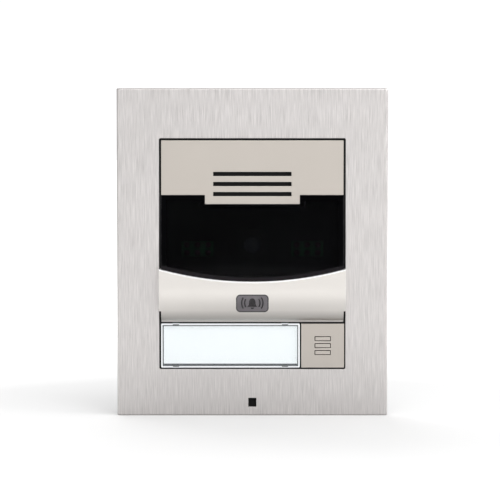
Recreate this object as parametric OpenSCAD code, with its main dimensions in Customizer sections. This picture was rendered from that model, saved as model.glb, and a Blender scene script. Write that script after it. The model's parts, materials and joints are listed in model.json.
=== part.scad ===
// Flush-mounted door intercom panel: speaker, camera, one backlit name tag and one call button.
// Millimetres. +X right, +Z up, the front looks along -Y. The wall plane is y = 0, and the origin is
// the centre of the cover frame's back face.

/* [Cover frame] */
// Overall width of the cover frame
frame_w = 128; // [126:0.5:180]
// Overall height of the cover frame
frame_h = 155; // [153:0.5:210]
// Distance from the wall to the frame's front face
frame_depth = 5; // [4.6:0.1:9]
// Thickness of the frame's front face
frame_face_t = 2; // [1.2:0.1:2.4]
// Thickness of the rim that runs back to the wall
frame_rim_t = 1.6; // [1:0.1:2.2]
// Chamfer along the outer front edges
frame_edge = 0.6; // [0.2:0.1:1.2]
// Width of the opening in the frame
opening_w = 88.2; // [80:0.1:106]
// Height of the opening in the frame
opening_h = 109.4; // [104:0.1:131.5]
// Height of the opening's centre over the frame's centre
opening_shift = -0.8; // [-2:0.1:2]
// Width of the microphone port
mic_port_w = 3.8; // [3:0.1:5]
// Height of the microphone port
mic_port_h = 4.2; // [3:0.1:5]
// Height of the port's centre over the frame's bottom edge
mic_port_rise = 6.2; // [5.8:0.1:7]

/* [Speaker panel] */
// Visible gap between the frame and the front pieces
reveal = 1.05; // [0.6:0.05:1.4]
// Height of the speaker panel without its tab
panel_h = 25.8; // [24:0.1:31]
// Sheet thickness of the speaker panel
panel_t = 1.6; // [0.8:0.1:1.9]
// Width of the tab under the speaker panel
tab_w = 44.9; // [42:0.1:60]
// Height of the tab
tab_h = 4.3; // [3:0.1:6]
// Length of a sound slot
slot_w = 37; // [24:0.5:38]
// Height of a sound slot
slot_h = 1.95; // [1:0.05:3]
// Distance between sound slots
slot_pitch = 4.75; // [3.5:0.05:5]
// Distance from the panel's top edge to the middle slot
slot_drop = 20.6; // [19.8:0.1:21.4]
// Outer radius of the loudspeaker
speaker_r = 18; // [15:0.5:20]

/* [Camera window and chin] */
// How far the window's lower edge stands out from the frame's face
window_flare = 5.8; // [3:0.1:6.2]
// Wall of the camera window
window_wall = 2; // [1.4:0.1:2.2]
// Radius of the arc between the window and the chin
arc_r = 166; // [150:1:260]
// Height of the chin at its middle
chin_h = 19.6; // [18.5:0.1:22]
// How far the chin stands out from the frame's face
chin_proud = 7; // [6.6:0.1:9]
// Wall of the chin cover
chin_wall = 1.6; // [1.2:0.1:2]
// How far a chin cheek reaches past the window's side
cheek = 0.95; // [0.5:0.05:1]
// Width of the badge
badge_w = 15.4; // [10:0.1:22]
// Height of the badge
badge_h = 8.5; // [6:0.1:9]
// Height of the lens under the middle of the clear window
lens_drop = 1.4; // [0:0.1:2]
// Distance of each infrared board from the centre line
ir_offset = 26; // [24.5:0.5:28]

/* [Name tag and call button] */
// Height of the strip that holds the name tag and the button
strip_h = 21.1; // [19:0.1:25.5]
// Gap under the strip and beside the button
strip_gap = 0.6; // [0.4:0.05:0.9]
// Seam between the chin and the strip
seam = 0.7; // [0.4:0.05:1]
// Width of the call button
button_w = 20.3; // [17.5:0.1:24.4]
// Travel of the call button
button_travel = 0.8; // [0.4:0.1:0.9]
// Gap between the name tag and the button
tag_gap = 0.7; // [0.4:0.05:1]
// Radius of the button's plunger
plunger_r = 2.25; // [1.8:0.05:2.7]

/* [Housing and chassis] */
// Distance from the wall to the back of the rear housing
housing_depth = 24; // [22.5:0.5:36]
// Wall of both housings
housing_wall = 1.8; // [1.4:0.1:2.2]
// Thickness of the mounting chassis
chassis_t = 1.5; // [1:0.1:2]
// Height of the box slots
box_slot_h = 4; // [3.4:0.1:4.6]
// Length of the box slots
box_slot_w = 8; // [6:0.5:12]
// Distance between the box slots, side to side
box_pitch_x = 60; // [40:0.5:70]
// Radius of the housing screws and module screws
screw_r = 1.5; // [1.25:0.05:1.5]

/* [Hidden] */

$fn = 48;

// Clearances
fit_gap = 0.1; // between pieces that are laid side by side
run_gap = 0.05; // radial, between the plunger or the stem and its bore
thread_gap = 0.05; // radial, between a screw and its threaded hole
face_gap = 0.3; // between the cover frame and the front housing
move_gap = 0.3; // around a piece that moves in the front housing
embed = 0.4; // how far a fused feature reaches into the wall that carries it

// Depths along Y
face_y = -frame_depth;
face_back = face_y + frame_face_t;
chassis_set_back = 0.2;
chassis_back = chassis_set_back + chassis_t;
plate_y = face_back + face_gap;
plate_t = 2;
plate_back = plate_y + plate_t;
board_y = 8;
board_t = 1.6;
board_back = board_y + board_t;
split_y = 10;
seal_t = 0.4;

// The opening and what stands in it
open_x = opening_w / 2;
open_top = opening_shift + opening_h / 2;
open_bottom = opening_shift - opening_h / 2;
front_x = open_x - reveal;
panel_top = open_top - reveal;
panel_bottom = panel_top - panel_h;
tab_bottom = panel_bottom - tab_h;
strip_bottom = open_bottom + strip_gap;
strip_top = strip_bottom + strip_h;
chin_bottom = strip_top + seam;
arc_low = chin_bottom + chin_h;
arc_z = arc_low + arc_r;
slot_z = panel_top - slot_drop;

// Module body, flange and chassis, all centred on the opening
body_side_gap = 1.1;
body_x = open_x - body_side_gap;
body_z = opening_h / 2 - body_side_gap - 0.1;
inner_x = body_x - housing_wall;
inner_z = body_z - housing_wall;
flange_x = open_x + 2.4;
flange_z = opening_h / 2 + 1.5;
pass_gap = 2;
chassis_side = 6.5;
chassis_end = 7.5;
hatch_x = body_x + pass_gap;
hatch_z = body_z + pass_gap;
chassis_x = hatch_x + chassis_side;
chassis_z = hatch_z + chassis_end;
slot_row_z = hatch_z + chassis_end / 2;

// Module screws in the flange's ears
ear_x = hatch_x + 3.4;
ear_rise = 44;
ear_r = 3.5;
screw_head_r = 2.75;
screw_head_h = 1.9;
ear_recess = 2.1;

// Frame posts and their spring clips
post_x = flange_x + 2.5;
post_rise = 22;
post_t = 1;
post_h = 8;
post_end = chassis_back + 2.5;
clip_t = 0.4;
clip_lap = 1.2;
clip_half = post_t / 2 + fit_gap + clip_t;
clip_hole_half = clip_half + 0.6;

// Housing screws in the corner columns
column_r = 3;
column_x = inner_x - 2.8;
column_z = inner_z - 2.8;
column_y = 2;
housing_screw_end = 4;

// Bosses that carry the main board
boss_r = 3;
boss_x = inner_x - 4.7;
boss_top = panel_bottom - 3;
boss_low = strip_top + 6.2;
small_screw_r = 1.1;
small_head_r = 2;
small_head_h = 1.5;

// Speaker
mesh_t = 0.2;
gasket_t = 0.5;
gasket_w = 2;
speaker_y = plate_back + gasket_t;
speaker_flange_t = 1;
speaker_post_x = speaker_r + 2.4;
speaker_post_r = 2.2;
speaker_head_r = 3;
sound_z = 6.3;
sound_x = sqrt(pow(speaker_r - gasket_w, 2) - sound_z * sound_z) - 0.3;
peg_r = 1;
peg_end = plate_back + 0.5;
panel_lip = 0.8;
panel_pegs = [[30, panel_top - 4.8], [front_x - 5, panel_top - 21.8]];

// Camera
window_back = plate_y - seal_t;
window_top = panel_bottom - fit_gap;
window_len = window_top - arc_low;
window_r = (window_len * window_len + window_flare * window_flare) / (2 * window_flare);
lens_z = (tab_bottom + arc_low) / 2 - lens_drop;
barrel_r = 5.9;
barrel_front = plate_y - 0.8;
barrel_back = plate_y + 3.3;
holder_r = 6.9;
glass_r = 4;
camera_y = plate_back + 2.7;
camera_t = 1.2;
camera_board_w = 30;
camera_board_h = 22;
camera_post_x = 11.5;
camera_post_r = 2.2;
ir_w = 18;
ir_h = 10;
ir_t = 1;
ir_z = lens_z - 1.7;
ir_edge = 1.4;
led_r = 1.5;
led_pitch_x = 5;
led_pitch_z = 3.8;

// Chin
chin_front = frame_depth + chin_proud;
chin_nose_z = arc_low - 2.6;
chin_lip_h = 1.05;
chin_lip_y = face_y + 0.6;
chin_root = chin_bottom + chin_lip_h;
chin_drop = chin_nose_z - chin_root;
chin_foot = 3.5;
cheek_bottom = chin_bottom + 5.5;
chin_steps = 14;
chin_post_x = 30;
chin_post_z = chin_bottom + 11;
badge_z = chin_bottom + 9.3;
badge_r = 2;
badge_sunk = 0.5;
badge_raised = 0.15;

// Name tag
strip_y = face_y + 0.3;
tag_right = open_x - strip_gap - button_w - tag_gap;
tag_left = -(open_x - strip_gap - 0.3);
tag_low = strip_bottom + fit_gap;
tag_high = strip_top - fit_gap;
tag_face_t = 1.2;
tag_rim = 1;
tag_rim_low = 1.6;
tag_rim_end = plate_y - run_gap;
card_gap = 0.2;
card_t = 0.25;
guide_t = 2;
card_left = tag_left + tag_rim + card_gap;
card_right = tag_right - tag_rim - card_gap;
card_low = tag_low + tag_rim_low + card_gap;
card_high = tag_high - tag_rim - card_gap;
guide_y = plate_y - 0.4;
guide_back = guide_y + guide_t;
guide_gap = 0.15;
light_margin = 2;
light_left = max(card_left + light_margin, -inner_x + light_margin);
light_wall = 1.2;
hook_w = 3;
hook_t = 0.8;
hook_end = plate_back - 0.1;
hook_inset = 7;
back_led_h = 0.8;
back_board_y = plate_back + 1;
back_board_t = 1;

// Call button
button_right = open_x - strip_gap;
button_left = button_right - button_w;
button_x = (button_left + button_right) / 2;
button_z = (strip_top + strip_bottom) / 2;
button_h = strip_h - 2 * fit_gap;
cap_t = 1.5;
cap_wall = 1;
cap_back = strip_y + cap_t;
stop_t = 0.3;
skirt_end = plate_back - stop_t - fit_gap - button_travel;
well_w = button_w + 2 * move_gap;
well_h = button_h + 2 * move_gap;
floor_t = 2.5;
floor_back = plate_back + floor_t;
spring_seat = floor_back - 1;
spring_r = plunger_r + 2.05;
spring_wire_r = 0.3;
spring_turns = 3;
spring_steps = 18;
spring_pocket_r = spring_r + spring_wire_r + 0.4;
sleeve_r = spring_r - spring_wire_r - 0.6;
sleeve_front = plate_back - 0.5;
collar_r = plunger_r + 0.95;
collar_end = floor_back + 0.6;
plunger_end = collar_end + 1;
plunger_head_r = plunger_r + 0.75;
clip_groove_r = plunger_r - 0.55;
button_clip_t = 0.5;
clip_y = collar_end + run_gap;
button_clip_r = plunger_r + 1.05;
dash_w = 7.7;
dash_h = 2.1;
dash_pitch = 3.3;
dash_raised = 0.3;
stem_r = 1.7;
stem_y = plunger_end + run_gap;
stem_len = 2.15;
switch_y = board_y - 3.4;
switch_w = 6;
switch_bore_end = switch_y + 2;

// Microphone
mic_z = -frame_h / 2 + mic_port_rise;
mic_r = 2;
boot_w = 5.6;
boot_h = 5.2;
boot_end = face_back + 2.5;
frame_seal_w = 1.5;
frame_seal_end = chassis_set_back;
lead_r = 0.7;
lead_hole_r = 1.3;
lead_y = face_back + 1.4;
lead_drop = (hatch_z + body_z) / 2;
lead_notch = 2.8;
mic_plug_y = 3.8;
mic_plug_z = opening_shift - inner_z + 2.7;
mic_plug_h = 4;
lead_start = mic_z + boot_h / 2;
// Route of the microphone lead in the plane x = 0: [y, z]
lead_route = [
    [lead_y, lead_start],
    [lead_y, lead_start + 0.7 * (opening_shift - flange_z - lead_start)],
    [lead_y + 0.1, lead_start + 0.9 * (opening_shift - flange_z - lead_start)],
    [lead_y + 0.6, opening_shift - lead_drop - 0.9],
    [lead_y + 1.4, opening_shift - lead_drop - 0.1],
    [lead_y + 3.8, opening_shift - lead_drop],
    [lead_y + 5.5, opening_shift - lead_drop + 0.1],
    [lead_y + 6.6, opening_shift - body_z - 0.1],
    [lead_y + 6.8, opening_shift - body_z + 1.4],
    [lead_y + 6.8, mic_plug_z]
];

// Parts on the back of the main board
jack_x = -20;
jack_z = opening_shift - 25.2;
jack_w = 16;
jack_h = 13.6;
jack_cave_w = 11.8;
jack_cave_h = 8.4;
jack_cave_y = board_back + 3;
jack_latch_w = 6.4;
jack_latch_h = 1.8;
contact_pitch = 1.02;
contact_w = 0.4;
terminal_x = 13;
terminal_z = opening_shift - 24;
terminal_pitch = 5.08;
terminal_count = 4;
terminal_w = terminal_pitch * terminal_count;
terminal_h = 10;
terminal_back = board_back + 11;
terminal_hole = 3.4;
terminal_screw_r = 1.6;
wire_space = 8;
rear_y = housing_depth - housing_wall;
shield_x = 10;
shield_z = opening_shift + 20;
shield_w = 32;
shield_h = 28;
shield_depth = 2.6;
shield_t = 0.3;
transformer_z = opening_shift - 2.5;
transformer_w = 16;
transformer_h = 13;
transformer_depth = 6;
relay_x = 15.5;
relay_z = opening_shift - 8;
relay_w = 15;
relay_h = 10;
relay_depth = 11;
can_clear = 1; // between a capacitor and a board screw's head
// Capacitors: [x, z, radius, length]
cans = [
    [-(boss_x - small_head_r - can_clear - 4), opening_shift + 15, 4, 9],
    [-(boss_x - small_head_r - can_clear - 4), opening_shift + 26, 4, 9],
    [-20, opening_shift + 34, 3.2, 7],
    [-(boss_x - small_head_r - can_clear - 2.5), boss_low - 13.2, 4, 8]
];

// Small parts behind the name tag and the camera
chip_w = 3.5;
chip_h = 2.8;
chip_columns = 6;
chip_row = 3.8; // from the middle of the tag to each row of chips
header_inset = 6;
header_w = 8;
header_h = 2.6;
ribbon_w = 8;
ribbon_t = 0.3;
ribbon_drop = 9.2;

// Solid block between two corners
module block(x0, x1, y0, y1, z0, z1) {
    translate([x0, y0, z0])
        cube([x1 - x0, y1 - y0, z1 - z0]);
}

// An outline drawn in X and Z, as thick as y0 to y1
module across(y0, y1) {
    translate([0, y1, 0])
        rotate([90, 0, 0])
            linear_extrude(y1 - y0)
                children();
}

// A profile drawn in Y and Z, as long as x0 to x1
module along_x(x0, x1) {
    translate([x0, 0, 0])
        rotate([90, 0, 90])
            linear_extrude(x1 - x0)
                children();
}

// A round bar or bore that runs along Y
module rod(x, z, r, y0, y1) {
    translate([x, y1, z])
        rotate([90, 0, 0])
            cylinder(r = r, h = y1 - y0);
}

// A solid of revolution about the line x, z: the profile's first axis is its radius, its second is +Y from y0
module turned(x, z, y0, profile) {
    translate([x, y0, z])
        rotate([-90, 0, 0])
            rotate_extrude()
                polygon(profile);
}

// A rectangle between two corners
module rect(x0, x1, z0, z1) {
    translate([x0, z0])
        square([x1 - x0, z1 - z0]);
}

// A rectangle with round corners, centred on x, z
module rounded(x, z, w, h, r) {
    translate([x, z]) {
        square([w - 2 * r, h], center = true);
        square([w, h - 2 * r], center = true);
        for (i = [-1, 1], j = [-1, 1])
            translate([i * (w / 2 - r), j * (h / 2 - r)])
                circle(r);
    }
}

// A pan-head screw along Y: its head's seat is at y, and direction 1 drives it towards +Y
module screw(x, z, y, r, length, head_r, head_h, direction) {
    slot_depth = head_h * 0.45;
    translate([x, y, z])
        rotate([direction > 0 ? -90 : 90, 0, 0])
            difference() {
                union() {
                    translate([0, 0, -head_h / 2])
                        cylinder(r = r, h = length + head_h / 2);
                    translate([0, 0, -head_h])
                        cylinder(r = head_r, h = head_h);
                }
                for (turn = [0, 90])
                    rotate([0, 0, turn])
                        translate([-head_r * 0.55, -head_r * 0.12, -head_h - 1])
                            cube([head_r * 1.1, head_r * 0.24, slot_depth + 1]);
            }
}

// Copies mirrored to both sides, and to the top and bottom of the opening's centre
module four_corners(x, z) {
    for (i = [-1, 1], j = [-1, 1])
        translate([i * x, 0, opening_shift + j * z])
            children();
}

module both_sides(x, z) {
    for (i = [-1, 1])
        translate([i * x, 0, z])
            children();
}

// Unit vector
function unit(v) = v / norm(v);

// Direction of a route at point i
function heading(p, i) = unit(p[min(i + 1, len(p) - 1)] - p[max(i - 1, 0)]);

// Tube of n sides swept along the points p; side is a vector that the route never points along
module tube(p, r, n, side) {
    rings = len(p);
    points = [
        for (i = [0 : rings - 1], k = [0 : n - 1])
            let (t = heading(p, i), u = unit(cross(side, t)), v = cross(t, u))
                p[i] + r * (cos(360 * k / n) * u + sin(360 * k / n) * v)
    ];
    walls = [
        for (i = [0 : rings - 2], k = [0 : n - 1])
            [i * n + k, i * n + (k + 1) % n, (i + 1) * n + (k + 1) % n, (i + 1) * n + k]
    ];
    start = [for (k = [0 : n - 1]) n - 1 - k];
    end = [for (k = [0 : n - 1]) (rings - 1) * n + k];
    // each ring turns clockwise when seen from outside, so every face is reversed
    faces = [for (f = concat(walls, [start, end])) [for (k = [len(f) - 1 : -1 : 0]) f[k]]];
    polyhedron(points, faces, convexity = 6);
}

// Outlines that several pieces share

module speaker_outline(inset) {
    rect(-front_x + inset, front_x - inset, panel_bottom + inset, panel_top - inset);
    rect(-tab_w / 2 + inset, tab_w / 2 - inset, tab_bottom + inset, panel_bottom + 2 * inset + 0.5);
}

module window_outline(inset) {
    difference() {
        intersection() {
            rect(-front_x + inset, front_x - inset, arc_low - 1, window_top - inset);
            translate([0, arc_z])
                circle(arc_r - fit_gap / 2 - inset, $fn = 360);
        }
        rect(-tab_w / 2 - fit_gap - inset, tab_w / 2 + fit_gap + inset,
            tab_bottom - fit_gap - inset, window_top + 1);
    }
}

module chin_outline(inset) {
    difference() {
        union() {
            rect(-front_x - cheek + inset, front_x + cheek - inset, cheek_bottom + inset, arc_low + 12);
            rect(-front_x + inset, front_x - inset, chin_root + inset, arc_low);
        }
        translate([0, arc_z])
            circle(arc_r + fit_gap / 2 + inset, $fn = 360);
    }
}

// Side profile of the chin in Y and Z: upright above the nose, then an ellipse down to the root
module chin_profile(inset, back = plate_y) {
    depth = chin_front - chin_foot;
    reach = chin_drop + 1.05;
    polygon(concat(
        [[back, arc_low + 13], [-chin_front + inset, arc_low + 13]],
        [
            for (i = [0 : chin_steps])
                let (down = chin_drop * i / chin_steps, share = down / reach)
                    [-chin_foot - (depth - inset) * sqrt(1 - share * share), chin_nose_z - down]
        ],
        [[back, chin_root]]
    ));
}

// Side profile of the window in Y and Z: its front is hollowed by a large arc
module window_profile(inset, back) {
    difference() {
        rect(-chin_front - 4, back, arc_low - 2, window_top + 1);
        translate([face_y - window_r, window_top])
            circle(window_r + inset, $fn = 360);
    }
}

module button_well() {
    translate([button_x, button_z])
        square([well_w, well_h], center = true);
}

// Cover frame and what holds it

module cover_frame() {
    color("#c9c5c0")
        union() {
            difference() {
                intersection() {
                    across(face_y, 0)
                        rounded(0, 0, frame_w, frame_h, 0.8);
                    // chamfered in Y and Z
                    along_x(-frame_w, frame_w)
                        polygon([
                            [0, -frame_h / 2], [face_y + frame_edge, -frame_h / 2],
                            [face_y, -frame_h / 2 + frame_edge], [face_y, frame_h / 2 - frame_edge],
                            [face_y + frame_edge, frame_h / 2], [0, frame_h / 2]
                        ]);
                    // chamfered in X and Y
                    translate([0, 0, -frame_h])
                        linear_extrude(2 * frame_h)
                            polygon([
                                [-frame_w / 2, 0], [-frame_w / 2, face_y + frame_edge],
                                [-frame_w / 2 + frame_edge, face_y], [frame_w / 2 - frame_edge, face_y],
                                [frame_w / 2, face_y + frame_edge], [frame_w / 2, 0]
                            ]);
                }
                // hollow behind the face
                across(face_back, 1)
                    rounded(0, 0, frame_w - 2 * frame_rim_t, frame_h - 2 * frame_rim_t, 0.2);
                // opening for the module's front
                across(face_y - 1, face_back + 1)
                    rounded(0, opening_shift, opening_w, opening_h, 0.8);
                across(face_y - 1, face_back + 1)
                    translate([0, mic_z])
                        square([mic_port_w, mic_port_h], center = true);
            }
            four_corners(post_x, post_rise)
                block(-post_t / 2, post_t / 2, face_back - embed, post_end, -post_h / 2, post_h / 2);
        }
}

module frame_seal() {
    outer_w = frame_w - 2 * frame_rim_t - 2 * fit_gap;
    outer_h = frame_h - 2 * frame_rim_t - 2 * fit_gap;
    color("#2a2a2c")
        across(face_back, frame_seal_end)
            difference() {
                square([outer_w, outer_h], center = true);
                square([outer_w - 2 * frame_seal_w, outer_h - 2 * frame_seal_w], center = true);
            }
}

module mounting_chassis() {
    color("#8f9296")
        difference() {
            across(chassis_set_back, chassis_back)
                rounded(0, opening_shift, 2 * chassis_x, 2 * chassis_z, 3);
            across(-1, chassis_back + 1)
                rounded(0, opening_shift, 2 * hatch_x, 2 * hatch_z, 1);
            // slots for the screws of the wall box
            for (i = [-1, 1], j = [-1, 1])
                translate([i * box_pitch_x / 2, 0, opening_shift + j * slot_row_z]) {
                    straight = box_slot_w / 2 - box_slot_h / 2;
                    rod(-straight, 0, box_slot_h / 2, -1, chassis_back + 1);
                    rod(straight, 0, box_slot_h / 2, -1, chassis_back + 1);
                    block(-straight, straight, -1, chassis_back + 1, -box_slot_h / 2, box_slot_h / 2);
                }
            four_corners(ear_x, ear_rise)
                rod(0, 0, screw_r + thread_gap, -1, chassis_back + 1);
            four_corners(post_x, post_rise)
                block(-clip_hole_half, clip_hole_half, -1, chassis_back + 1,
                    -post_h / 2 - 0.6, post_h / 2 + 0.6);
        }
}

module frame_clips() {
    clip_back = post_end + 0.7;
    color("#b8bcc0")
        four_corners(post_x, post_rise)
            difference() {
                union() {
                    block(-clip_half, clip_half, chassis_set_back - clip_t, clip_back,
                        -post_h / 2, post_h / 2);
                    block(-clip_half - clip_lap, clip_half + clip_lap, chassis_set_back - clip_t,
                        chassis_set_back, -post_h / 2, post_h / 2);
                }
                block(-clip_half + clip_t, clip_half - clip_t, -5, clip_back - clip_t, -post_h, post_h);
            }
}

module module_screws() {
    color("#d0d2d4")
        four_corners(ear_x, ear_rise)
            screw(0, 0, plate_y + ear_recess, screw_r, chassis_back - plate_y - ear_recess,
                screw_head_r, screw_head_h, 1);
}

// Housings

module front_housing() {
    color("#1d1d20")
        difference() {
            union() {
                // face plate with the flange that lies on the chassis
                across(plate_y, plate_back)
                    rounded(0, opening_shift, 2 * flange_x, 2 * flange_z, 2);
                across(plate_back - embed, chassis_set_back)
                    difference() {
                        rounded(0, opening_shift, 2 * flange_x, 2 * flange_z, 2);
                        translate([0, opening_shift])
                            square([2 * inner_x, 2 * inner_z], center = true);
                    }
                across(plate_y, chassis_set_back)
                    for (i = [-1, 1], j = [-1, 1])
                        translate([i * ear_x, opening_shift + j * ear_rise]) {
                            circle(ear_r);
                            translate([-i * ear_r / 2 - ear_r / 2, -ear_r])
                                square([ear_r, 2 * ear_r]);
                        }
                // side walls
                across(plate_back - embed, split_y)
                    difference() {
                        rounded(0, opening_shift, 2 * body_x, 2 * body_z, 1.5);
                        translate([0, opening_shift])
                            square([2 * inner_x, 2 * inner_z], center = true);
                    }
                // corner columns for the housing screws
                four_corners(column_x, column_z)
                    rod(0, 0, column_r, column_y, split_y);
                // posts for the main board
                for (z = [boss_top, boss_low])
                    both_sides(boss_x, z)
                        rod(0, 0, boss_r, plate_back - embed, board_y);
                // posts for the speaker, the camera board and the chin's screws
                both_sides(speaker_post_x, slot_z)
                    rod(0, 0, speaker_post_r, plate_back - embed, speaker_y + speaker_flange_t);
                both_sides(camera_post_x, lens_z)
                    rod(0, 0, camera_post_r, plate_back - embed, camera_y);
                // floor under the call button, with its sleeve and collar
                block(button_left - move_gap - 1.2, body_x - embed, plate_back - embed, floor_back,
                    opening_shift - body_z + embed, strip_top + 1.2);
                rod(button_x, button_z, collar_r, floor_back - embed, collar_end);
                // walls that carry the backlight board
                across(plate_back - embed, back_board_y)
                    difference() {
                        rect(light_left - light_wall, card_right - light_margin + light_wall,
                            card_low + light_margin - light_wall, card_high - light_margin + light_wall);
                        rect(light_left, card_right - light_margin,
                            card_low + light_margin, card_high - light_margin);
                    }
            }
            // sound, lens and infrared openings
            block(-sound_x, sound_x, plate_y - 1, plate_back + 1, slot_z - sound_z, slot_z + sound_z);
            rod(0, lens_z, holder_r + 0.4, plate_y - 1, plate_back + 1);
            both_sides(ir_offset, ir_z)
                block(-ir_w / 2 + ir_edge, ir_w / 2 - ir_edge, plate_y - 1, plate_back + 1,
                    -ir_h / 2 + ir_edge, ir_h / 2 - ir_edge);
            // pocket of the light guide, and the smaller light opening behind it
            across(plate_y - 1, guide_back)
                rect(card_left - guide_gap, card_right + guide_gap,
                    card_low - guide_gap, card_high + guide_gap);
            across(plate_y - 1, back_board_y + 1)
                rect(light_left, card_right - light_margin,
                    card_low + light_margin, card_high - light_margin);
            // slots for the name tag's hooks
            for (x = [tag_left + hook_inset, tag_right - hook_inset], z = [tag_low, tag_high - hook_t])
                block(x - hook_w / 2 - move_gap, x + hook_w / 2 + move_gap, plate_y - 1, plate_back + 0.1,
                    z - move_gap, z + hook_t + move_gap);
            // well, spring pocket and bore of the call button
            difference() {
                union() {
                    across(plate_y - 1, plate_back)
                        button_well();
                    rod(button_x, button_z, spring_pocket_r, plate_y, spring_seat);
                }
                rod(button_x, button_z, sleeve_r, sleeve_front, spring_seat + 1);
            }
            rod(button_x, button_z, plunger_r + run_gap, plate_y, collar_end + 1);
            // holes of the speaker panel's pegs and the chin's screws
            for (p = panel_pegs)
                both_sides(p[0], p[1])
                    rod(0, 0, peg_r + fit_gap, plate_y - 1, plate_back + 1);
            both_sides(chin_post_x, chin_post_z)
                rod(0, 0, small_screw_r + fit_gap, plate_y - 1, plate_back + 1);
            // screw holes
            four_corners(ear_x, ear_rise) {
                rod(0, 0, screw_head_r + 0.3, plate_y - 1, plate_y + ear_recess);
                rod(0, 0, screw_r + 0.2, plate_y, chassis_set_back + 1);
            }
            four_corners(column_x, column_z)
                rod(0, 0, screw_r + thread_gap, housing_screw_end - 0.5, split_y + 1);
            for (z = [boss_top, boss_low])
                both_sides(boss_x, z)
                    rod(0, 0, small_screw_r + thread_gap, board_y - 5.5, board_y + 1);
            both_sides(speaker_post_x, slot_z)
                rod(0, 0, small_screw_r + thread_gap, plate_y + 1, speaker_y + speaker_flange_t + 1);
            both_sides(camera_post_x, lens_z)
                rod(0, 0, small_screw_r + thread_gap, plate_back - 0.6, camera_y + 1);
            // way of the microphone lead: a notch in the flange and a hole in the lower wall
            block(-lead_notch / 2, lead_notch / 2, plate_y - 1, chassis_set_back + 1,
                opening_shift - flange_z - 1, opening_shift - body_z);
            translate([0, lead_y + 6.8, opening_shift - body_z - 1])
                cylinder(r = lead_hole_r, h = housing_wall + 2);
        }
}

module housing_seal() {
    color("#3a3a3c")
        across(split_y, split_y + seal_t)
            difference() {
                rounded(0, opening_shift, 2 * body_x, 2 * body_z, 1.5);
                translate([0, opening_shift])
                    square([2 * inner_x, 2 * inner_z], center = true);
            }
}

module rear_housing() {
    shell_y = split_y + seal_t;
    head_seat = housing_depth - screw_head_h - 0.2;
    color("#242427")
        difference() {
            union() {
                across(shell_y, housing_depth)
                    difference() {
                        rounded(0, opening_shift, 2 * body_x, 2 * body_z, 1.5);
                        translate([0, opening_shift])
                            square([2 * inner_x, 2 * inner_z], center = true);
                    }
                across(rear_y, housing_depth)
                    rounded(0, opening_shift, 2 * body_x, 2 * body_z, 1.5);
                four_corners(column_x, column_z)
                    rod(0, 0, column_r + 1, shell_y, rear_y + embed);
            }
            // network jack
            block(jack_x - jack_w / 2 - move_gap, jack_x + jack_w / 2 + move_gap,
                rear_y - 1, housing_depth + 1,
                jack_z - jack_h / 2 - move_gap, jack_z + jack_h / 2 + move_gap);
            // terminal block and the space for its wires
            block(terminal_x - terminal_w / 2 - 1, terminal_x + terminal_w / 2 + 1,
                rear_y - 1, housing_depth + 1,
                terminal_z - terminal_h / 2 - wire_space, terminal_z + terminal_h / 2 + 1);
            four_corners(column_x, column_z) {
                rod(0, 0, screw_r + 0.2, shell_y - 1, housing_depth + 1);
                rod(0, 0, screw_head_r + 0.2, head_seat, housing_depth + 1);
            }
        }
}

module housing_screws() {
    head_seat = housing_depth - screw_head_h - 0.2;
    color("#c7c9cc")
        four_corners(column_x, column_z)
            screw(0, 0, head_seat, screw_r, head_seat - housing_screw_end, screw_head_r, screw_head_h, -1);
}

// Speaker

module speaker_panel() {
    color("#cfc8c0")
        union() {
            difference() {
                across(face_y, face_y + panel_t)
                    speaker_outline(0);
                for (i = [-1, 0, 1])
                    block(-slot_w / 2, slot_w / 2, face_y - 1, plate_y,
                        slot_z + i * slot_pitch - slot_h / 2, slot_z + i * slot_pitch + slot_h / 2);
            }
            // folded edge that rests on the front housing
            across(face_y + panel_t - embed, plate_y)
                difference() {
                    speaker_outline(0);
                    speaker_outline(panel_lip);
                }
            for (p = panel_pegs)
                both_sides(p[0], p[1])
                    rod(0, 0, peg_r, face_y + panel_t - embed, peg_end);
        }
}

module speaker_mesh() {
    reach = slot_pitch + slot_h / 2 + 1;
    color("#0c0c0e")
        block(-slot_w / 2 - 1, slot_w / 2 + 1, face_y + panel_t, face_y + panel_t + mesh_t,
            slot_z - reach, slot_z + reach);
}

module speaker_gasket() {
    color("#3b3b3d")
        difference() {
            rod(0, slot_z, speaker_r, plate_back, speaker_y);
            rod(0, slot_z, speaker_r - gasket_w, plate_back - 1, speaker_y + 1);
        }
}

// The basket is a pressed dish: flange, sloping side and floor with a central hole
module speaker_basket() {
    r = speaker_r;
    color("#a5a8ab")
        turned(0, slot_z, speaker_y, [
            [r - 3, 0], [r, 0], [r, speaker_flange_t], [r - 1.6, speaker_flange_t], [r - 8.4, 4],
            [5.5, 4], [5.5, 3.2], [r - 9, 3.2], [r - 3, 0.6]
        ]);
}

module speaker_cone() {
    r = speaker_r;
    color("#26241f")
        turned(0, slot_z, speaker_y, [
            [0, 1.6], [4.6, 2.3], [r - 4, 0.1], [r - 3, 0.1], [r - 3, 0.5], [r - 4, 0.5], [4.6, 2.7], [0, 2]
        ]);
}

module speaker_magnet() {
    color("#55585c")
        rod(0, slot_z, speaker_r - 9.5, speaker_y + 4, speaker_y + 7);
}

module speaker_screws() {
    color("#d0d2d4")
        both_sides(speaker_post_x, slot_z)
            screw(0, 0, speaker_y + speaker_flange_t, small_screw_r, 2.5, speaker_head_r, 1.2, -1);
}

// Camera

module camera_window() {
    color("#08080a")
        difference() {
            intersection() {
                across(-chin_front - 4, window_back)
                    window_outline(0);
                along_x(-front_x - 1, front_x + 1)
                    window_profile(0, window_back);
            }
            intersection() {
                across(-chin_front - 4, window_back + 1)
                    window_outline(window_wall);
                along_x(-front_x, front_x)
                    window_profile(window_wall, window_back + 1);
            }
        }
}

module window_seal() {
    color("#303032")
        across(window_back, plate_y)
            difference() {
                window_outline(fit_gap);
                window_outline(window_wall - fit_gap);
            }
}

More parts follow.
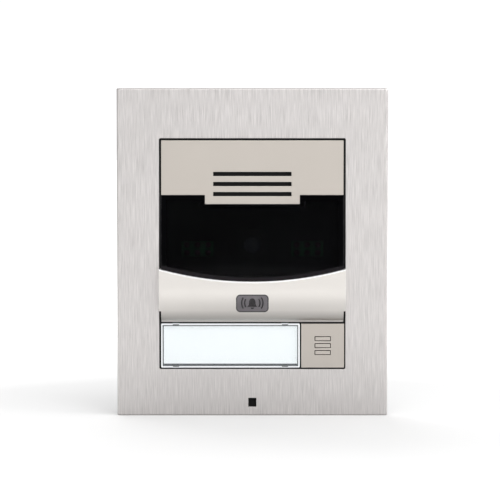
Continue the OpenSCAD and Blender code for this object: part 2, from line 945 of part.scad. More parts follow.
module camera_board() {
    color("#1f6b3a")
        difference() {
            across(camera_y, camera_y + camera_t)
                translate([0, lens_z])
                    square([camera_board_w, camera_board_h], center = true);
            both_sides(camera_post_x, lens_z)
                rod(0, 0, small_screw_r + fit_gap, camera_y - 1, camera_y + camera_t + 1);
        }
}

module camera_screws() {
    color("#d0d2d4")
        both_sides(camera_post_x, lens_z)
            screw(0, 0, camera_y + camera_t, small_screw_r, camera_t + 2.6, small_head_r, small_head_h, -1);
}

module lens_holder() {
    base_t = 1.2;
    color("#18181a")
        difference() {
            union() {
                across(camera_y - base_t, camera_y)
                    translate([0, lens_z])
                        square([2 * holder_r + 0.2, 2 * holder_r + 0.2], center = true);
                rod(0, lens_z, holder_r, plate_y + 1.1, camera_y - base_t + embed);
            }
            rod(0, lens_z, barrel_r + fit_gap, plate_y, barrel_back);
            rod(0, lens_z, barrel_r - 1.5, plate_y, camera_y + 1);
        }
}

module lens_barrel() {
    color("#101012")
        difference() {
            rod(0, lens_z, barrel_r, barrel_front, barrel_back);
            rod(0, lens_z, glass_r + fit_gap, barrel_front - 1, barrel_front + 2);
            rod(0, lens_z, glass_r - 0.8, barrel_front, barrel_back + 1);
        }
}

module lens_glass() {
    dome_r = 8;
    color("#30343c")
        intersection() {
            rod(0, lens_z, glass_r, barrel_front, barrel_front + 2);
            translate([0, barrel_front + 0.3 + dome_r, lens_z])
                sphere(dome_r);
        }
}

module ir_boards() {
    color("#1f6b3a")
        both_sides(ir_offset, ir_z)
            block(-ir_w / 2, ir_w / 2, plate_back, plate_back + ir_t, -ir_h / 2, ir_h / 2);
}

module ir_leds() {
    shoulder_y = plate_y + 0.1;
    color("#46323c")
        both_sides(ir_offset, ir_z)
            for (i = [-1, 0, 1], j = [-1, 1]) {
                x = i * led_pitch_x;
                z = j * led_pitch_z / 2;
                rod(x, z, led_r, shoulder_y, plate_back);
                translate([x, shoulder_y, z])
                    sphere(led_r);
            }
}

module camera_ribbon() {
    color("#b9894a")
        block(-ribbon_w / 2, ribbon_w / 2, camera_y + camera_t, board_y,
            lens_z - ribbon_drop, lens_z - ribbon_drop + ribbon_t);
}

// Chin and badge

module chin_cover() {
    color("#d8d3cb")
        difference() {
            union() {
                difference() {
                    intersection() {
                        across(-chin_front - 1, plate_y)
                            chin_outline(0);
                        along_x(-front_x - 2, front_x + 2)
                            chin_profile(0);
                    }
                    intersection() {
                        across(-chin_front - 1, plate_y + 1)
                            chin_outline(chin_wall);
                        along_x(-front_x - 1, front_x + 1)
                            chin_profile(chin_wall, plate_y + 1);
                    }
                }
                // flat lip at the chin's foot
                block(-front_x, front_x, chin_lip_y, plate_y, chin_bottom, chin_root + chin_wall);
                // screw posts behind the face
                intersection() {
                    both_sides(chin_post_x, chin_post_z)
                        rod(0, 0, 2.4, -chin_front + chin_wall, plate_y);
                    along_x(-front_x, front_x)
                        chin_profile(chin_wall / 2);
                }
            }
            both_sides(chin_post_x, chin_post_z)
                rod(0, 0, small_screw_r + thread_gap, plate_y - 4.5, plate_y + 1);
            // recess of the badge
            difference() {
                across(-chin_front - 1, plate_y - 1)
                    rounded(0, badge_z, badge_w + 2 * fit_gap, badge_h + 2 * fit_gap, badge_r + fit_gap);
                along_x(-badge_w, badge_w)
                    chin_profile(badge_sunk);
            }
        }
}

module chin_screws() {
    color("#d0d2d4")
        both_sides(chin_post_x, chin_post_z)
            screw(0, 0, plate_back, small_screw_r, plate_t + 4, small_head_r, small_head_h, -1);
}

module badge() {
    color("#636064")
        difference() {
            intersection() {
                across(-chin_front - 1, plate_y)
                    rounded(0, badge_z, badge_w, badge_h, badge_r);
                along_x(-badge_w, badge_w)
                    chin_profile(-badge_raised);
            }
            along_x(-badge_w - 1, badge_w + 1)
                chin_profile(badge_sunk);
        }
}

// Name tag

module name_tag_cover() {
    color("#dfe6ea", 0.5)
        difference() {
            union() {
                across(strip_y, tag_rim_end)
                    rounded((tag_left + tag_right) / 2, (tag_low + tag_high) / 2,
                        tag_right - tag_left, tag_high - tag_low, 0.5);
                for (x = [tag_left + hook_inset, tag_right - hook_inset], z = [tag_low, tag_high - hook_t])
                    block(x - hook_w / 2, x + hook_w / 2, tag_rim_end - embed, hook_end, z, z + hook_t);
            }
            across(strip_y + tag_face_t, tag_rim_end + 0.001)
                rect(tag_left + tag_rim, tag_right - tag_rim, tag_low + tag_rim_low, tag_high - tag_rim);
        }
}

module name_tag_card() {
    color("#f8fbfd")
        across(guide_y - card_t, guide_y)
            rect(card_left, card_right, card_low, card_high);
}

module light_guide() {
    color("#eef4f8")
        across(guide_y, guide_back)
            rect(card_left, card_right, card_low, card_high);
}

module backlight_board() {
    color("#e9ecee")
        across(back_board_y, back_board_y + back_board_t)
            rect(light_left - light_wall + fit_gap, card_right - light_margin + light_wall,
                card_low + light_margin - light_wall + 0.5, card_high - light_margin + light_wall);
}

module backlight_leds() {
    step = (card_right - light_margin - light_left) / chip_columns;
    color("#f2e9b8")
        for (i = [0 : chip_columns - 1], j = [-1, 1])
            translate([light_left + (i + 0.5) * step, 0, (card_low + card_high) / 2 + j * chip_row])
                block(-chip_w / 2, chip_w / 2, back_board_y - back_led_h, back_board_y,
                    -chip_h / 2, chip_h / 2);
}

module backlight_header() {
    color("#17171a")
        block(light_left + header_inset, light_left + header_inset + header_w,
            back_board_y + back_board_t, board_y, button_z - header_h / 2, button_z + header_h / 2);
}

// Main board and what is soldered to it

// A block centred on x, z that stands on the back of the main board, from start to end behind it
module part_on_board(x, z, w, h, start, end) {
    block(x - w / 2, x + w / 2, board_back + start, board_back + end, z - h / 2, z + h / 2);
}

module main_board() {
    edge = 0.3;
    notch = inner_x - column_x + column_r + 0.4;
    color("#1b5e34")
        difference() {
            across(board_y, board_back)
                translate([0, opening_shift])
                    square([2 * (inner_x - edge), 2 * (inner_z - edge)], center = true);
            // square notches round the corner columns
            four_corners(inner_x, inner_z)
                block(-notch, notch, board_y - 1, board_back + 1, -notch, notch);
            for (z = [boss_top, boss_low])
                both_sides(boss_x, z)
                    rod(0, 0, small_screw_r + fit_gap, board_y - 1, board_back + 1);
        }
}

module board_screws() {
    color("#d0d2d4")
        for (z = [boss_top, boss_low])
            both_sides(boss_x, z)
                screw(0, 0, board_back, small_screw_r, board_t + 4.6, small_head_r, small_head_h, -1);
}

module processor_shield() {
    color("#b4b7ba")
        difference() {
            part_on_board(shield_x, shield_z, shield_w, shield_h, 0, shield_depth);
            part_on_board(shield_x, shield_z, shield_w - 2 * shield_t, shield_h - 2 * shield_t,
                -1, shield_depth - shield_t);
        }
}

module ethernet_jack() {
    color("#a9adb1")
        difference() {
            block(jack_x - jack_w / 2, jack_x + jack_w / 2, board_back, housing_depth,
                jack_z - jack_h / 2, jack_z + jack_h / 2);
            block(jack_x - jack_cave_w / 2, jack_x + jack_cave_w / 2, jack_cave_y, housing_depth + 1,
                jack_z - jack_cave_h / 2, jack_z + jack_cave_h / 2);
            block(jack_x - jack_latch_w / 2, jack_x + jack_latch_w / 2, jack_cave_y, housing_depth + 1,
                jack_z - jack_cave_h / 2 - jack_latch_h, jack_z);
        }
}

module jack_contacts() {
    color("#c9a23a")
        for (i = [0 : 7])
            translate([jack_x + (i - 3.5) * contact_pitch, 0, jack_z + jack_cave_h / 2])
                block(-contact_w / 2, contact_w / 2, jack_cave_y, housing_depth - 2, -0.6, 0);
}

module ethernet_transformer() {
    color("#151517")
        part_on_board(jack_x, transformer_z, transformer_w, transformer_h, 0, transformer_depth);
}

module relay() {
    color("#1f4f8a")
        part_on_board(relay_x, relay_z, relay_w, relay_h, 0, relay_depth);
}

module terminal_block() {
    left = terminal_x - terminal_w / 2;
    color("#2f8f4e")
        difference() {
            block(left, left + terminal_w, board_back, terminal_back,
                terminal_z - terminal_h / 2, terminal_z + terminal_h / 2);
            for (i = [0 : terminal_count - 1])
                translate([left + (i + 0.5) * terminal_pitch, 0, terminal_z]) {
                    rod(0, 0, terminal_screw_r + 0.2, terminal_back - 3, terminal_back + 1);
                    block(-terminal_hole / 2, terminal_hole / 2,
                        board_back + 2, board_back + 2 + terminal_hole,
                        -terminal_h / 2 - 1, -terminal_h / 2 + 5);
                }
        }
}

module terminal_screws() {
    left = terminal_x - terminal_w / 2;
    color("#c9cbce")
        for (i = [0 : terminal_count - 1])
            translate([left + (i + 0.5) * terminal_pitch, 0, terminal_z])
                difference() {
                    rod(0, 0, terminal_screw_r, terminal_back - 3, terminal_back - 0.8);
                    block(-terminal_screw_r - 1, terminal_screw_r + 1, terminal_back - 1.4, terminal_back,
                        -0.25, 0.25);
                }
}

module capacitors() {
    color("#2b2f55")
        for (c = cans)
            rod(c[0], c[1], c[2], board_back, board_back + c[3]);
}

// Microphone behind the frame's port

module microphone() {
    color("#b7babd")
        rod(0, mic_z, mic_r, face_back, face_back + 2);
}

module microphone_boot() {
    color("#202022")
        difference() {
            block(-boot_w / 2, boot_w / 2, face_back, boot_end, mic_z - boot_h / 2, mic_z + boot_h / 2);
            rod(0, mic_z, mic_r, face_back - 1, face_back + 2);
        }
}

module microphone_mesh() {
    side = fit_gap / 2;
    color("#0a0a0b")
        block(-mic_port_w / 2 + side, mic_port_w / 2 - side, face_back - mesh_t, face_back,
            mic_z - mic_port_h / 2 + side, mic_z + mic_port_h / 2 - side);
}

module microphone_lead() {
    color("#141416")
        tube([for (p = lead_route) [0, p[0], p[1]]], lead_r, 8, [1, 0, 0]);
}

module microphone_connector() {
    color("#e6e2d6")
        block(-2.5, 2.5, mic_plug_y, board_y, mic_plug_z, mic_plug_z + mic_plug_h);
}

// Switch and call button

module switch_body() {
    color("#1a1a1c")
        difference() {
            across(switch_y, board_y)
                translate([button_x, button_z])
                    square([switch_w, switch_w], center = true);
            rod(button_x, button_z, stem_r + run_gap, switch_y - 1, switch_bore_end);
        }
}

module switch_stem() {
    color("#8a2f2f")
        rod(button_x, button_z, stem_r, stem_y, stem_y + stem_len);
}

module button_cap() {
    color("#c2beb6")
        union() {
            difference() {
                across(strip_y, skirt_end)
                    rounded(button_x, button_z, button_w, button_h, 0.5);
                across(cap_back, skirt_end + 1)
                    rounded(button_x, button_z, button_w - 2 * cap_wall, button_h - 2 * cap_wall, 0.3);
            }
            for (i = [-1, 0, 1])
                block(button_x - dash_w / 2, button_x + dash_w / 2, strip_y - dash_raised, strip_y + embed,
                    button_z + i * dash_pitch - dash_h / 2, button_z + i * dash_pitch + dash_h / 2);
        }
}

module button_plunger() {
    color("#e4e4e0")
        difference() {
            union() {
                rod(button_x, button_z, plunger_r, cap_back, plunger_end);
                rod(button_x, button_z, plunger_head_r, cap_back, cap_back + 0.6);
            }
            difference() {
                rod(button_x, button_z, plunger_r + 1, clip_y, clip_y + button_clip_t);
                rod(button_x, button_z, clip_groove_r, cap_back, plunger_end);
            }
        }
}

module button_clip() {
    color("#9a9da0")
        difference() {
            rod(button_x, button_z, button_clip_r, clip_y, clip_y + button_clip_t);
            rod(button_x, button_z, clip_groove_r, collar_end - 1, plunger_end);
        }
}

// Coil spring between the floor's pocket and the cap
module button_spring() {
    low = cap_back + spring_wire_r + 0.02;
    high = spring_seat - spring_wire_r - 0.02;
    steps = spring_turns * spring_steps;
    route = [
        for (i = [0 : steps])
            let (a = 360 * i / spring_steps)
                [button_x + spring_r * cos(a), low + (high - low) * i / steps, button_z + spring_r * sin(a)]
    ];
    color("#b0b3b6")
        tube(route, spring_wire_r, 8, [0, 1, 0]);
}

module button_seal() {
    color("#2f2f31")
        across(plate_back - stop_t, plate_back)
            difference() {
                translate([button_x, button_z])
                    square([well_w - 2 * fit_gap, well_h - 2 * fit_gap], center = true);
                translate([button_x, button_z])
                    square([button_w - 2 * cap_wall - 1, button_h - 2 * cap_wall - 1], center = true);
            }
}

cover_frame();
frame_seal();
mounting_chassis();
frame_clips();
module_screws();
front_housing();
rear_housing();
housing_seal();
housing_screws();
speaker_panel();
speaker_mesh();
speaker_gasket();
speaker_basket();
speaker_cone();
speaker_magnet();
speaker_screws();
camera_window();
window_seal();
camera_board();
camera_screws();
lens_holder();
lens_barrel();
lens_glass();
ir_boards();
ir_leds();
camera_ribbon();
chin_cover();
chin_screws();
badge();
name_tag_cover();
name_tag_card();
light_guide();
backlight_board();
backlight_leds();
backlight_header();
main_board();
board_screws();
processor_shield();
ethernet_jack();
jack_contacts();
ethernet_transformer();
relay();
terminal_block();
terminal_screws();
capacitors();
microphone();
microphone_boot();
microphone_mesh();
microphone_lead();
microphone_connector();
switch_body();
switch_stem();
button_cap();
button_plunger();
button_clip();
button_spring();
button_seal();
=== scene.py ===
import json
import math

import bpy
import numpy as np
from bpy.props import FloatProperty, FloatVectorProperty, IntProperty, PointerProperty
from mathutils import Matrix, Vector


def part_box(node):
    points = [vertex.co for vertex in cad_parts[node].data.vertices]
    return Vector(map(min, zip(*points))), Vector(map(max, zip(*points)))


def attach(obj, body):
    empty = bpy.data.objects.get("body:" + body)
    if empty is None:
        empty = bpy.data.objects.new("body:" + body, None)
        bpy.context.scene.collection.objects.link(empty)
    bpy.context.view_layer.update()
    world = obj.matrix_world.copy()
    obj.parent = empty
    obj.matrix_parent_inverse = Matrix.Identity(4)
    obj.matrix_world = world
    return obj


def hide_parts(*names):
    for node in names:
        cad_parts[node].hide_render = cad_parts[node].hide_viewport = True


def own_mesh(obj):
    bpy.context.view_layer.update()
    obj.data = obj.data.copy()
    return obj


bl_info = {
    "name": "Door intercom panel",
    "version": (1, 0, 0),
    "blender": (4, 5, 0),
    "location": "3D View > Sidebar > Intercom",
    "description": "Finished surfaces and materials of a flush-mounted door intercom panel",
    "category": "Object",
}

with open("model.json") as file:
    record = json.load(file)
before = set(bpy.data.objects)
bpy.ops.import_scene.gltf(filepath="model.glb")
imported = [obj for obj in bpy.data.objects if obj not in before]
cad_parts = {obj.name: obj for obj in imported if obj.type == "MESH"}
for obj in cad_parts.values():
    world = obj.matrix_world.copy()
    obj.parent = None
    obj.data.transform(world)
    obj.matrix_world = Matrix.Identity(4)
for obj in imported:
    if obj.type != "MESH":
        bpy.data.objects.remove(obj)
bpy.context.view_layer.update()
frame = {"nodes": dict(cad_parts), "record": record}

MM = 0.001
# Gap between two pieces that meet edge to edge
FIT = 0.1 * MM
SLOT_OF = {part["node"]: part["material_slot"] for part in frame["record"]["subparts"]}
COLOUR_OF = {made["slot"]: list(made["base_color"][:3]) for made in frame["record"]["materials"]}


# ---------------------------------------------------------------- sizes and colours


def length(name, description, millimetres):
    """A size that a user may change, shown in the scene's length unit."""
    return FloatProperty(
        name=name, description=description, default=millimetres * MM, min=0, precision=5, unit="LENGTH"
    )


def colour(name, description, default):
    """A colour that a user may change."""
    return FloatVectorProperty(
        name=name, description=description, default=default, size=3, min=0, max=1, subtype="COLOR"
    )


class IntercomSizes(bpy.types.PropertyGroup):
    """Sizes of the finished surfaces that the frame's own boxes don't give"""

    edge_round: length("Edge round", "Radius of the speaker panel's edges", 0.18)
    reveal: length("Reveal", "Gap between the cover frame's opening and the pieces in it", 1.05)
    foot_gap: length("Foot gap", "Gap between the opening's lower edge and the name tag", 0.7)
    frame_chamfer: length("Frame chamfer", "Chamfer along the cover frame's outer front edges", 0.6)
    frame_face: length("Frame face", "Thickness of the cover frame's front face", 2.0)
    frame_rim: length("Frame rim", "Thickness of the cover frame's rim", 1.6)
    frame_corner: length("Frame corner", "Radius of the corners of the frame and its opening", 0.8)
    port_w: length("Port width", "Width of the microphone port", 3.8)
    port_h: length("Port height", "Height of the microphone port", 4.2)
    slot_h: length("Slot height", "Height of one sound slot", 1.95)
    slot_pitch: length("Slot pitch", "Distance between sound slots", 4.75)
    tab_w: length("Tab width", "Width of the tab under the sound slots", 44.9)
    sheet: length("Panel sheet", "Sheet thickness of the speaker panel", 1.6)
    lip: length("Panel lip", "Width of the speaker panel's folded edge", 0.8)
    window_wall: length("Window wall", "Wall of the camera window", 2.0)
    # The band is rougher, and its lighter colour is a painted reflection
    window_band: length("Window band", "Width of the ground band along the window's lower edge", 1.8)
    arc_radius: length("Arc radius", "Radius of the arc between the window and the chin", 166.0)
    nose_drop: length("Nose drop", "From the arc's lowest point down to the chin's nose line", 2.6)
    chin_foot: length("Chin foot", "Depth of the ellipse's end at the foot of the chin", 3.5)
    chin_wall: length("Chin wall", "Wall of the chin cover", 1.6)
    chin_lip: length("Chin lip", "Height of the flat lip at the chin's foot", 1.05)
    cheek: length("Cheek", "How far a chin cheek reaches past the window's side", 0.95)
    cheek_rise: length("Cheek rise", "From the chin's foot up to the lower end of a cheek", 5.5)
    badge_corner: length("Badge corner", "Radius of the badge's corners", 2.0)
    tag_bevel: length("Tag bevel", "Width of the bevel round the clear name tag cover", 0.8)
    hook_w: length("Hook width", "Width of a hook behind the name tag cover", 3.0)
    hook_inset: length("Hook inset", "From the cover's side to the middle of a hook", 7.0)
    dash_w: length("Dash width", "Width of a raised dash on the call button", 7.0)
    dash_h: length("Dash height", "Height of a raised dash", 1.6)
    dash_pitch: length("Dash pitch", "Distance between the dashes", 3.3)
    dash_rise: length("Dash rise", "How far a dash stands out of the call button", 0.3)
    groove: length("Groove", "Width of the fine groove round each dash", 0.32)
    wire: length("Spring wire", "Radius of the button spring's wire", 0.3)
    turns: IntProperty(
        name="Spring turns", description="Turns of the button spring", default=3, min=2, max=6
    )
    travel: length("Button travel", "How far the call button goes in", 0.8)


class IntercomColours(bpy.types.PropertyGroup):
    """Colours of the finishes that show from the street"""

    frame_metal: colour("Frame metal", "Brushed cover frame", (0.645, 0.62, 0.61))
    panel_metal: colour("Panel metal", "Speaker panel and call button", (0.545, 0.505, 0.462))
    chin_metal: colour("Chin metal", "Satin nickel chin", (0.77, 0.74, 0.705))
    window_tint: colour("Window tint", "Black camera window", COLOUR_OF["window_black"])
    badge_grey: colour("Badge grey", "Badge on the chin", COLOUR_OF["dark_badge"])
    tag_glow: colour("Tag glow", "Light that comes through the name card", (0.93, 0.975, 1.0))


# ---------------------------------------------------------------- surfaces


def corners(node):
    """Lowest and highest corner of a CAD node, as arrays."""
    low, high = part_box(node)
    return np.array(low), np.array(high)


def middle(node):
    """Centre and half size of a CAD node, as arrays."""
    low, high = corners(node)
    return (low + high) / 2, (high - low) / 2


def face_lists(*groups):
    """Arrays of corner numbers, one row a face, as one list of faces."""
    return [face for group in groups for face in np.asarray(group).tolist()]


def joined(*parts):
    """Several (points, faces) as one: each part's corner numbers move past the points before it."""
    points, faces, start = [], [], 0
    for own_points, own_faces in parts:
        points.append(own_points)
        faces += [[corner + start for corner in face] for face in own_faces]
        start += len(own_points)
    return np.concatenate(points), faces


def ring_points(rings, steps=6, marks=()):
    """Outlines of rounded rectangles. A row of rings is half width, half height, corner radius, height
    of the centre and depth. A point is its corner's centre plus the radius times (cos a, sin a), with a
    going once round; marks are further places along the lower side. Gives x, y and z, a row for each
    ring."""
    half_w, half_h, corner, centre_z, depth = np.asarray(rings, float).T[:, :, None]
    turn = np.radians(np.arange(-90, 270, 90)[:, None] + np.linspace(0, 90, steps + 1)).ravel()[None]
    side_x = np.repeat([1, 1, -1, -1], steps + 1)[None]
    side_z = np.repeat([-1, 1, 1, -1], steps + 1)[None]
    x = side_x * (half_w - corner) + corner * np.cos(turn)
    z = centre_z + side_z * (half_h - corner) + corner * np.sin(turn)
    lower_side = np.ones_like(half_w) * np.asarray(marks, float)[None]
    x = np.concatenate([x, lower_side], 1)
    z = np.concatenate([z, (centre_z - half_h) + 0 * lower_side], 1)
    return x, depth + 0 * x, z


def ring_faces(rows, columns, closed):
    """Quads between neighbouring rings, each a loop; closed joins the last ring to the first."""
    index = np.arange(rows * columns).reshape(rows, columns)
    if closed:
        index = np.concatenate([index, index[:1]])
    here, there = index[:-1], index[1:]
    return np.stack([here, there, np.roll(there, -1, 1), np.roll(here, -1, 1)], -1)


def ring_body(x, y, z):
    """A closed body: its rings run from the front's middle over the edge to the back, and the first and
    the last ring are filled."""
    rows, columns = x.shape
    quads = ring_faces(rows, columns, closed=False).reshape(-1, 4)
    front = np.arange(columns)
    back = (rows * columns - 1) - np.arange(columns)
    return np.stack([x, y, z], -1).reshape(-1, 3), face_lists(quads) + [front.tolist(), back.tolist()]


def skirted(x, y, z, filled, back):
    """A cap. The front is a grid of points, each worked out from its column and row, of which only the
    filled cells are drawn; each of its free edges runs straight back to the depth given in back."""
    index = np.arange(x.size).reshape(x.shape)
    quads = np.stack([index[:-1, :-1], index[:-1, 1:], index[1:, 1:], index[1:, :-1]], -1)[filled]
    edges = np.stack([quads, np.roll(quads, -1, 1)], -1).reshape(-1, 2)
    key = edges[:, 0] * x.size + edges[:, 1]
    back_key = edges[:, 1] * x.size + edges[:, 0]
    start, end = edges[~np.isin(key, back_key)].T
    walls = np.stack([end, start, start + x.size, end + x.size], -1)
    front_points = np.stack([x, y, z], -1).reshape(-1, 3)
    back_points = np.stack([x, back + 0 * x, z], -1).reshape(-1, 3)
    points = np.concatenate([front_points, back_points])
    faces = np.concatenate([quads, walls])
    used, renumbered = np.unique(faces, return_inverse=True)
    return points[used], face_lists(renumbered.reshape(-1, 4))


def blocks(planes, filled):
    """Skin of a body built of rectangular blocks. planes holds the x, y and z planes of a lattice, and a
    lattice face belongs to the skin where a filled cell has an empty one beside it."""
    shape = [len(p) for p in planes]
    index = np.arange(np.prod(shape)).reshape(shape)
    solid = np.pad(filled, 1).astype(int)
    faces = []
    for axis in range(3):
        step = np.moveaxis(np.diff(solid, axis=axis), axis, 0)[:, 1:-1, 1:-1]
        flat = np.moveaxis(index, axis, 0)
        quads = np.stack([flat[:, :-1, :-1], flat[:, 1:, :-1], flat[:, 1:, 1:], flat[:, :-1, 1:]], -1)
        outward = quads if axis != 1 else quads[..., ::-1]
        faces += [outward[step < 0], outward[step > 0][:, ::-1]]
    faces = np.concatenate(faces)
    used, renumbered = np.unique(faces, return_inverse=True)
    points = np.stack(np.meshgrid(*planes, indexing="ij"), -1).reshape(-1, 3)
    return points[used], face_lists(renumbered.reshape(-1, 4))


def block(low, high):
    """One rectangular block between two corners."""
    return blocks([np.array(pair) for pair in zip(low, high)], np.ones((1, 1, 1), bool))


def peg(x, z, radius, start, end, around=32):
    """A round peg along the depth: rings of radius times (cos a, sin a), filled at both ends."""
    turn, depth = np.meshgrid(np.linspace(0, 2 * math.pi, around, endpoint=False), [start, end])
    return ring_body(x + radius * np.cos(turn), depth, z + radius * np.sin(turn))


def tube(path, radius, side, around=12):
    """A round wire along a path. Its ring at each point is radius times (cos a * u - sin a * v), where u
    stands square to the path and to the direction side, and v to the path and u."""
    heading = np.gradient(path, axis=0)
    heading /= np.linalg.norm(heading, axis=1)[:, None]
    u = np.cross(np.asarray(side, float), heading)
    u /= np.linalg.norm(u, axis=1)[:, None]
    v = np.cross(heading, u)
    turn = np.linspace(0, 2 * math.pi, around, endpoint=False)[None, :, None]
    points = path[:, None] + radius * (np.cos(turn) * u[:, None] - np.sin(turn) * v[:, None])
    return ring_body(*np.moveaxis(points, -1, 0))


def smooth_path(points, count):
    """A curve through the points: between two of them it is the cubic that leaves each along the line
    joining its neighbours."""
    p = np.concatenate([[2 * points[0] - points[1]], points, [2 * points[-1] - points[-2]]])
    s = np.linspace(0, len(points) - 1 - 1e-9, count)
    k = s.astype(int)
    t = (s - k)[:, None]
    a, b, c, d = p[k], p[k + 1], p[k + 2], p[k + 3]
    return b + t * (c - a) / 2 + t**2 * (a - 2.5 * b + 2 * c - d / 2) + t**3 * (3 * b - 3 * c + d - a) / 2


# ---------------------------------------------------------------- pieces


def add_piece(name, body_of_piece, finish_slot, body="panel", stands_for=()):
    """Puts worked-out points and faces into a mesh that rides on a body and stands for its CAD nodes."""
    points, faces = body_of_piece
    mesh = bpy.data.meshes.new(name)
    mesh.from_pydata(points.tolist(), [], faces)
    mesh.update(calc_edges=True)
    if mesh.validate():
        raise RuntimeError(f"{name}: the surface has faces that fold onto each other")
    mesh.polygons.foreach_set("use_smooth", np.ones(len(mesh.polygons), bool))
    piece = bpy.data.objects.new(name, mesh)
    bpy.context.scene.collection.objects.link(piece)
    mesh.materials.append(finish(finish_slot))
    if stands_for:
        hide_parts(*stands_for)
    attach(piece, body)
    return piece


def thicken(piece, wall):
    """Gives an open cap its wall, inwards."""
    made = piece.modifiers.new("Wall", "SOLIDIFY")
    made.thickness = wall
    made.offset = -1
    made.use_even_offset = True
    return piece


def round_edges(piece, radius, segments=2):
    """Rounds the edges that turn by more than 32 degrees, and keeps the faces between them flat."""
    made = piece.modifiers.new("Edges", "BEVEL")
    made.width = radius
    made.segments = segments
    made.limit_method = "ANGLE"
    made.angle_limit = math.radians(32)
    made.use_clamp_overlap = True
    made.harden_normals = True
    made.miter_outer = "MITER_ARC"
    return piece


def weld(piece):
    """Joins the loose triangles of a CAD node, so that its edges can be rounded."""
    made = piece.modifiers.new("Weld", "WELD")
    made.merge_threshold = 0.002 * MM
    return piece


# ---------------------------------------------------------------- node trees


def set_inputs(tree, node, values):
    """Sets a node's inputs: a value that is a socket is linked, any other is set on the input itself."""
    for key, value in values.items():
        if isinstance(value, bpy.types.NodeSocket):
            tree.links.new(value, node.inputs[key])
        else:
            node.inputs[key].default_value = value


def add_node(tree, kind, values=None, **settings):
    """A shader node with its settings and its inputs."""
    made = tree.nodes.new(kind)
    for key, value in settings.items():
        setattr(made, key, value)
    set_inputs(tree, made, values or {})
    return made


def mix_colours(tree, share, first, second):
    """Colour between first and second."""
    made = add_node(tree, "ShaderNodeMix", {0: share, 6: first, 7: second}, data_type="RGBA")
    return made.outputs[2]


def mix_values(tree, share, first, second):
    """Number between first and second."""
    made = add_node(tree, "ShaderNodeMix", {0: share, 2: first, 3: second}, data_type="FLOAT")
    return made.outputs[0]


def spread(tree, value, low, high, start=0.0, end=1.0):
    """value, which goes from start to end, as a number from low to high."""
    values = {"Value": value, "From Min": start, "From Max": end, "To Min": low, "To Max": high}
    return add_node(tree, "ShaderNodeMapRange", values).outputs["Result"]


def value_math(tree, operation, first, second=0.0):
    """An operation on one or two numbers."""
    return add_node(tree, "ShaderNodeMath", {0: first, 1: second}, operation=operation).outputs[0]


def vector_math(tree, operation, first, second=(0, 0, 0), output="Vector"):
    """An operation on one or two vectors; output is Value where the result is a number."""
    made = add_node(tree, "ShaderNodeVectorMath", {0: first, 1: second}, operation=operation)
    return made.outputs[output]


def own_place(tree):
    """Object coordinates, in metres."""
    return add_node(tree, "ShaderNodeTexCoord").outputs["Object"]


def place_along(tree, axis):
    """Object coordinate on one axis: X, Y or Z."""
    return add_node(tree, "ShaderNodeSeparateXYZ", {0: own_place(tree)}).outputs[axis]


def scaled_place(tree, scale):
    """Object coordinates times one scale, in pattern cells a metre."""
    values = {0: own_place(tree), "Scale": scale}
    return add_node(tree, "ShaderNodeVectorMath", values, operation="SCALE").outputs["Vector"]


def noise(tree, place, detail=3.0, roughness=0.55):
    """Cloudy pattern from 0 to 1."""
    values = {"Vector": place, "Scale": 1.0, "Detail": detail, "Roughness": roughness}
    return add_node(tree, "ShaderNodeTexNoise", values).outputs["Fac"]


def new_group(name, inputs, outputs):
    """An empty shader node group with named number or vector sockets: its tree, what it is given and the
    node that its results go to."""
    tree = bpy.data.node_groups.new(name, "ShaderNodeTree")
    for socket_name, default in inputs.items():
        kind = "NodeSocketVector" if isinstance(default, tuple) else "NodeSocketFloat"
        socket = tree.interface.new_socket(name=socket_name, in_out="INPUT", socket_type=kind)
        socket.default_value = default
    for socket_name in outputs:
        tree.interface.new_socket(name=socket_name, in_out="OUTPUT", socket_type="NodeSocketFloat")
    return tree, tree.nodes.new("NodeGroupInput").outputs, tree.nodes.new("NodeGroupOutput")


def build_brushed_grain(name):
    """Streaks of a brushing wheel and the cloudy tone of the sheet under them."""
    inputs = {"Grain": (4500.0, 4500.0, 60.0), "Cloud": 22.0}
    tree, given, out = new_group(name, inputs, ["Streak", "Tone"])
    grain = vector_math(tree, "MULTIPLY", own_place(tree), given["Grain"])
    streak = spread(tree, noise(tree, grain, detail=4.0, roughness=0.6), 0.0, 1.0, 0.3, 0.7)
    tone = spread(tree, noise(tree, scaled_place(tree, given["Cloud"])), 0.0, 1.0, 0.35, 0.65)
    set_inputs(tree, out, {"Streak": streak, "Tone": tone})
    return tree


def build_moulded_skin(name):
    """Fine eroded texture of a mould and a slow change of tone."""
    tree, given, out = new_group(name, {"Fineness": 5500.0, "Cloud": 30.0}, ["Height", "Tone"])
    height = noise(tree, scaled_place(tree, given["Fineness"]), detail=2.0)
    tone = spread(tree, noise(tree, scaled_place(tree, given["Cloud"])), 0.0, 1.0, 0.35, 0.65)
    set_inputs(tree, out, {"Height": height, "Tone": tone})
    return tree


def build_edge_wear_and_highlight(name):
    """Mask of the edges, for edges that hands and tools have polished and for painted highlights along
    edges,
    broken up by a pattern: where the normal rounded over Width turns away from the face's own."""
    tree, given, out = new_group(name, {"Width": 0.0005, "Patches": 500.0}, ["Mask"])
    rounded = add_node(tree, "ShaderNodeBevel", {"Radius": given["Width"]}, samples=4).outputs[0]
    normal = add_node(tree, "ShaderNodeNewGeometry").outputs["Normal"]
    along = vector_math(tree, "DOT_PRODUCT", rounded, normal, "Value")
    sharp = spread(tree, along, 1.0, 0.0, 0.75, 0.985)
    broken = spread(tree, noise(tree, scaled_place(tree, given["Patches"])), 0.2, 1.0, 0.4, 0.6)
    set_inputs(tree, out, {"Mask": value_math(tree, "MULTIPLY", sharp, broken)})
    return tree


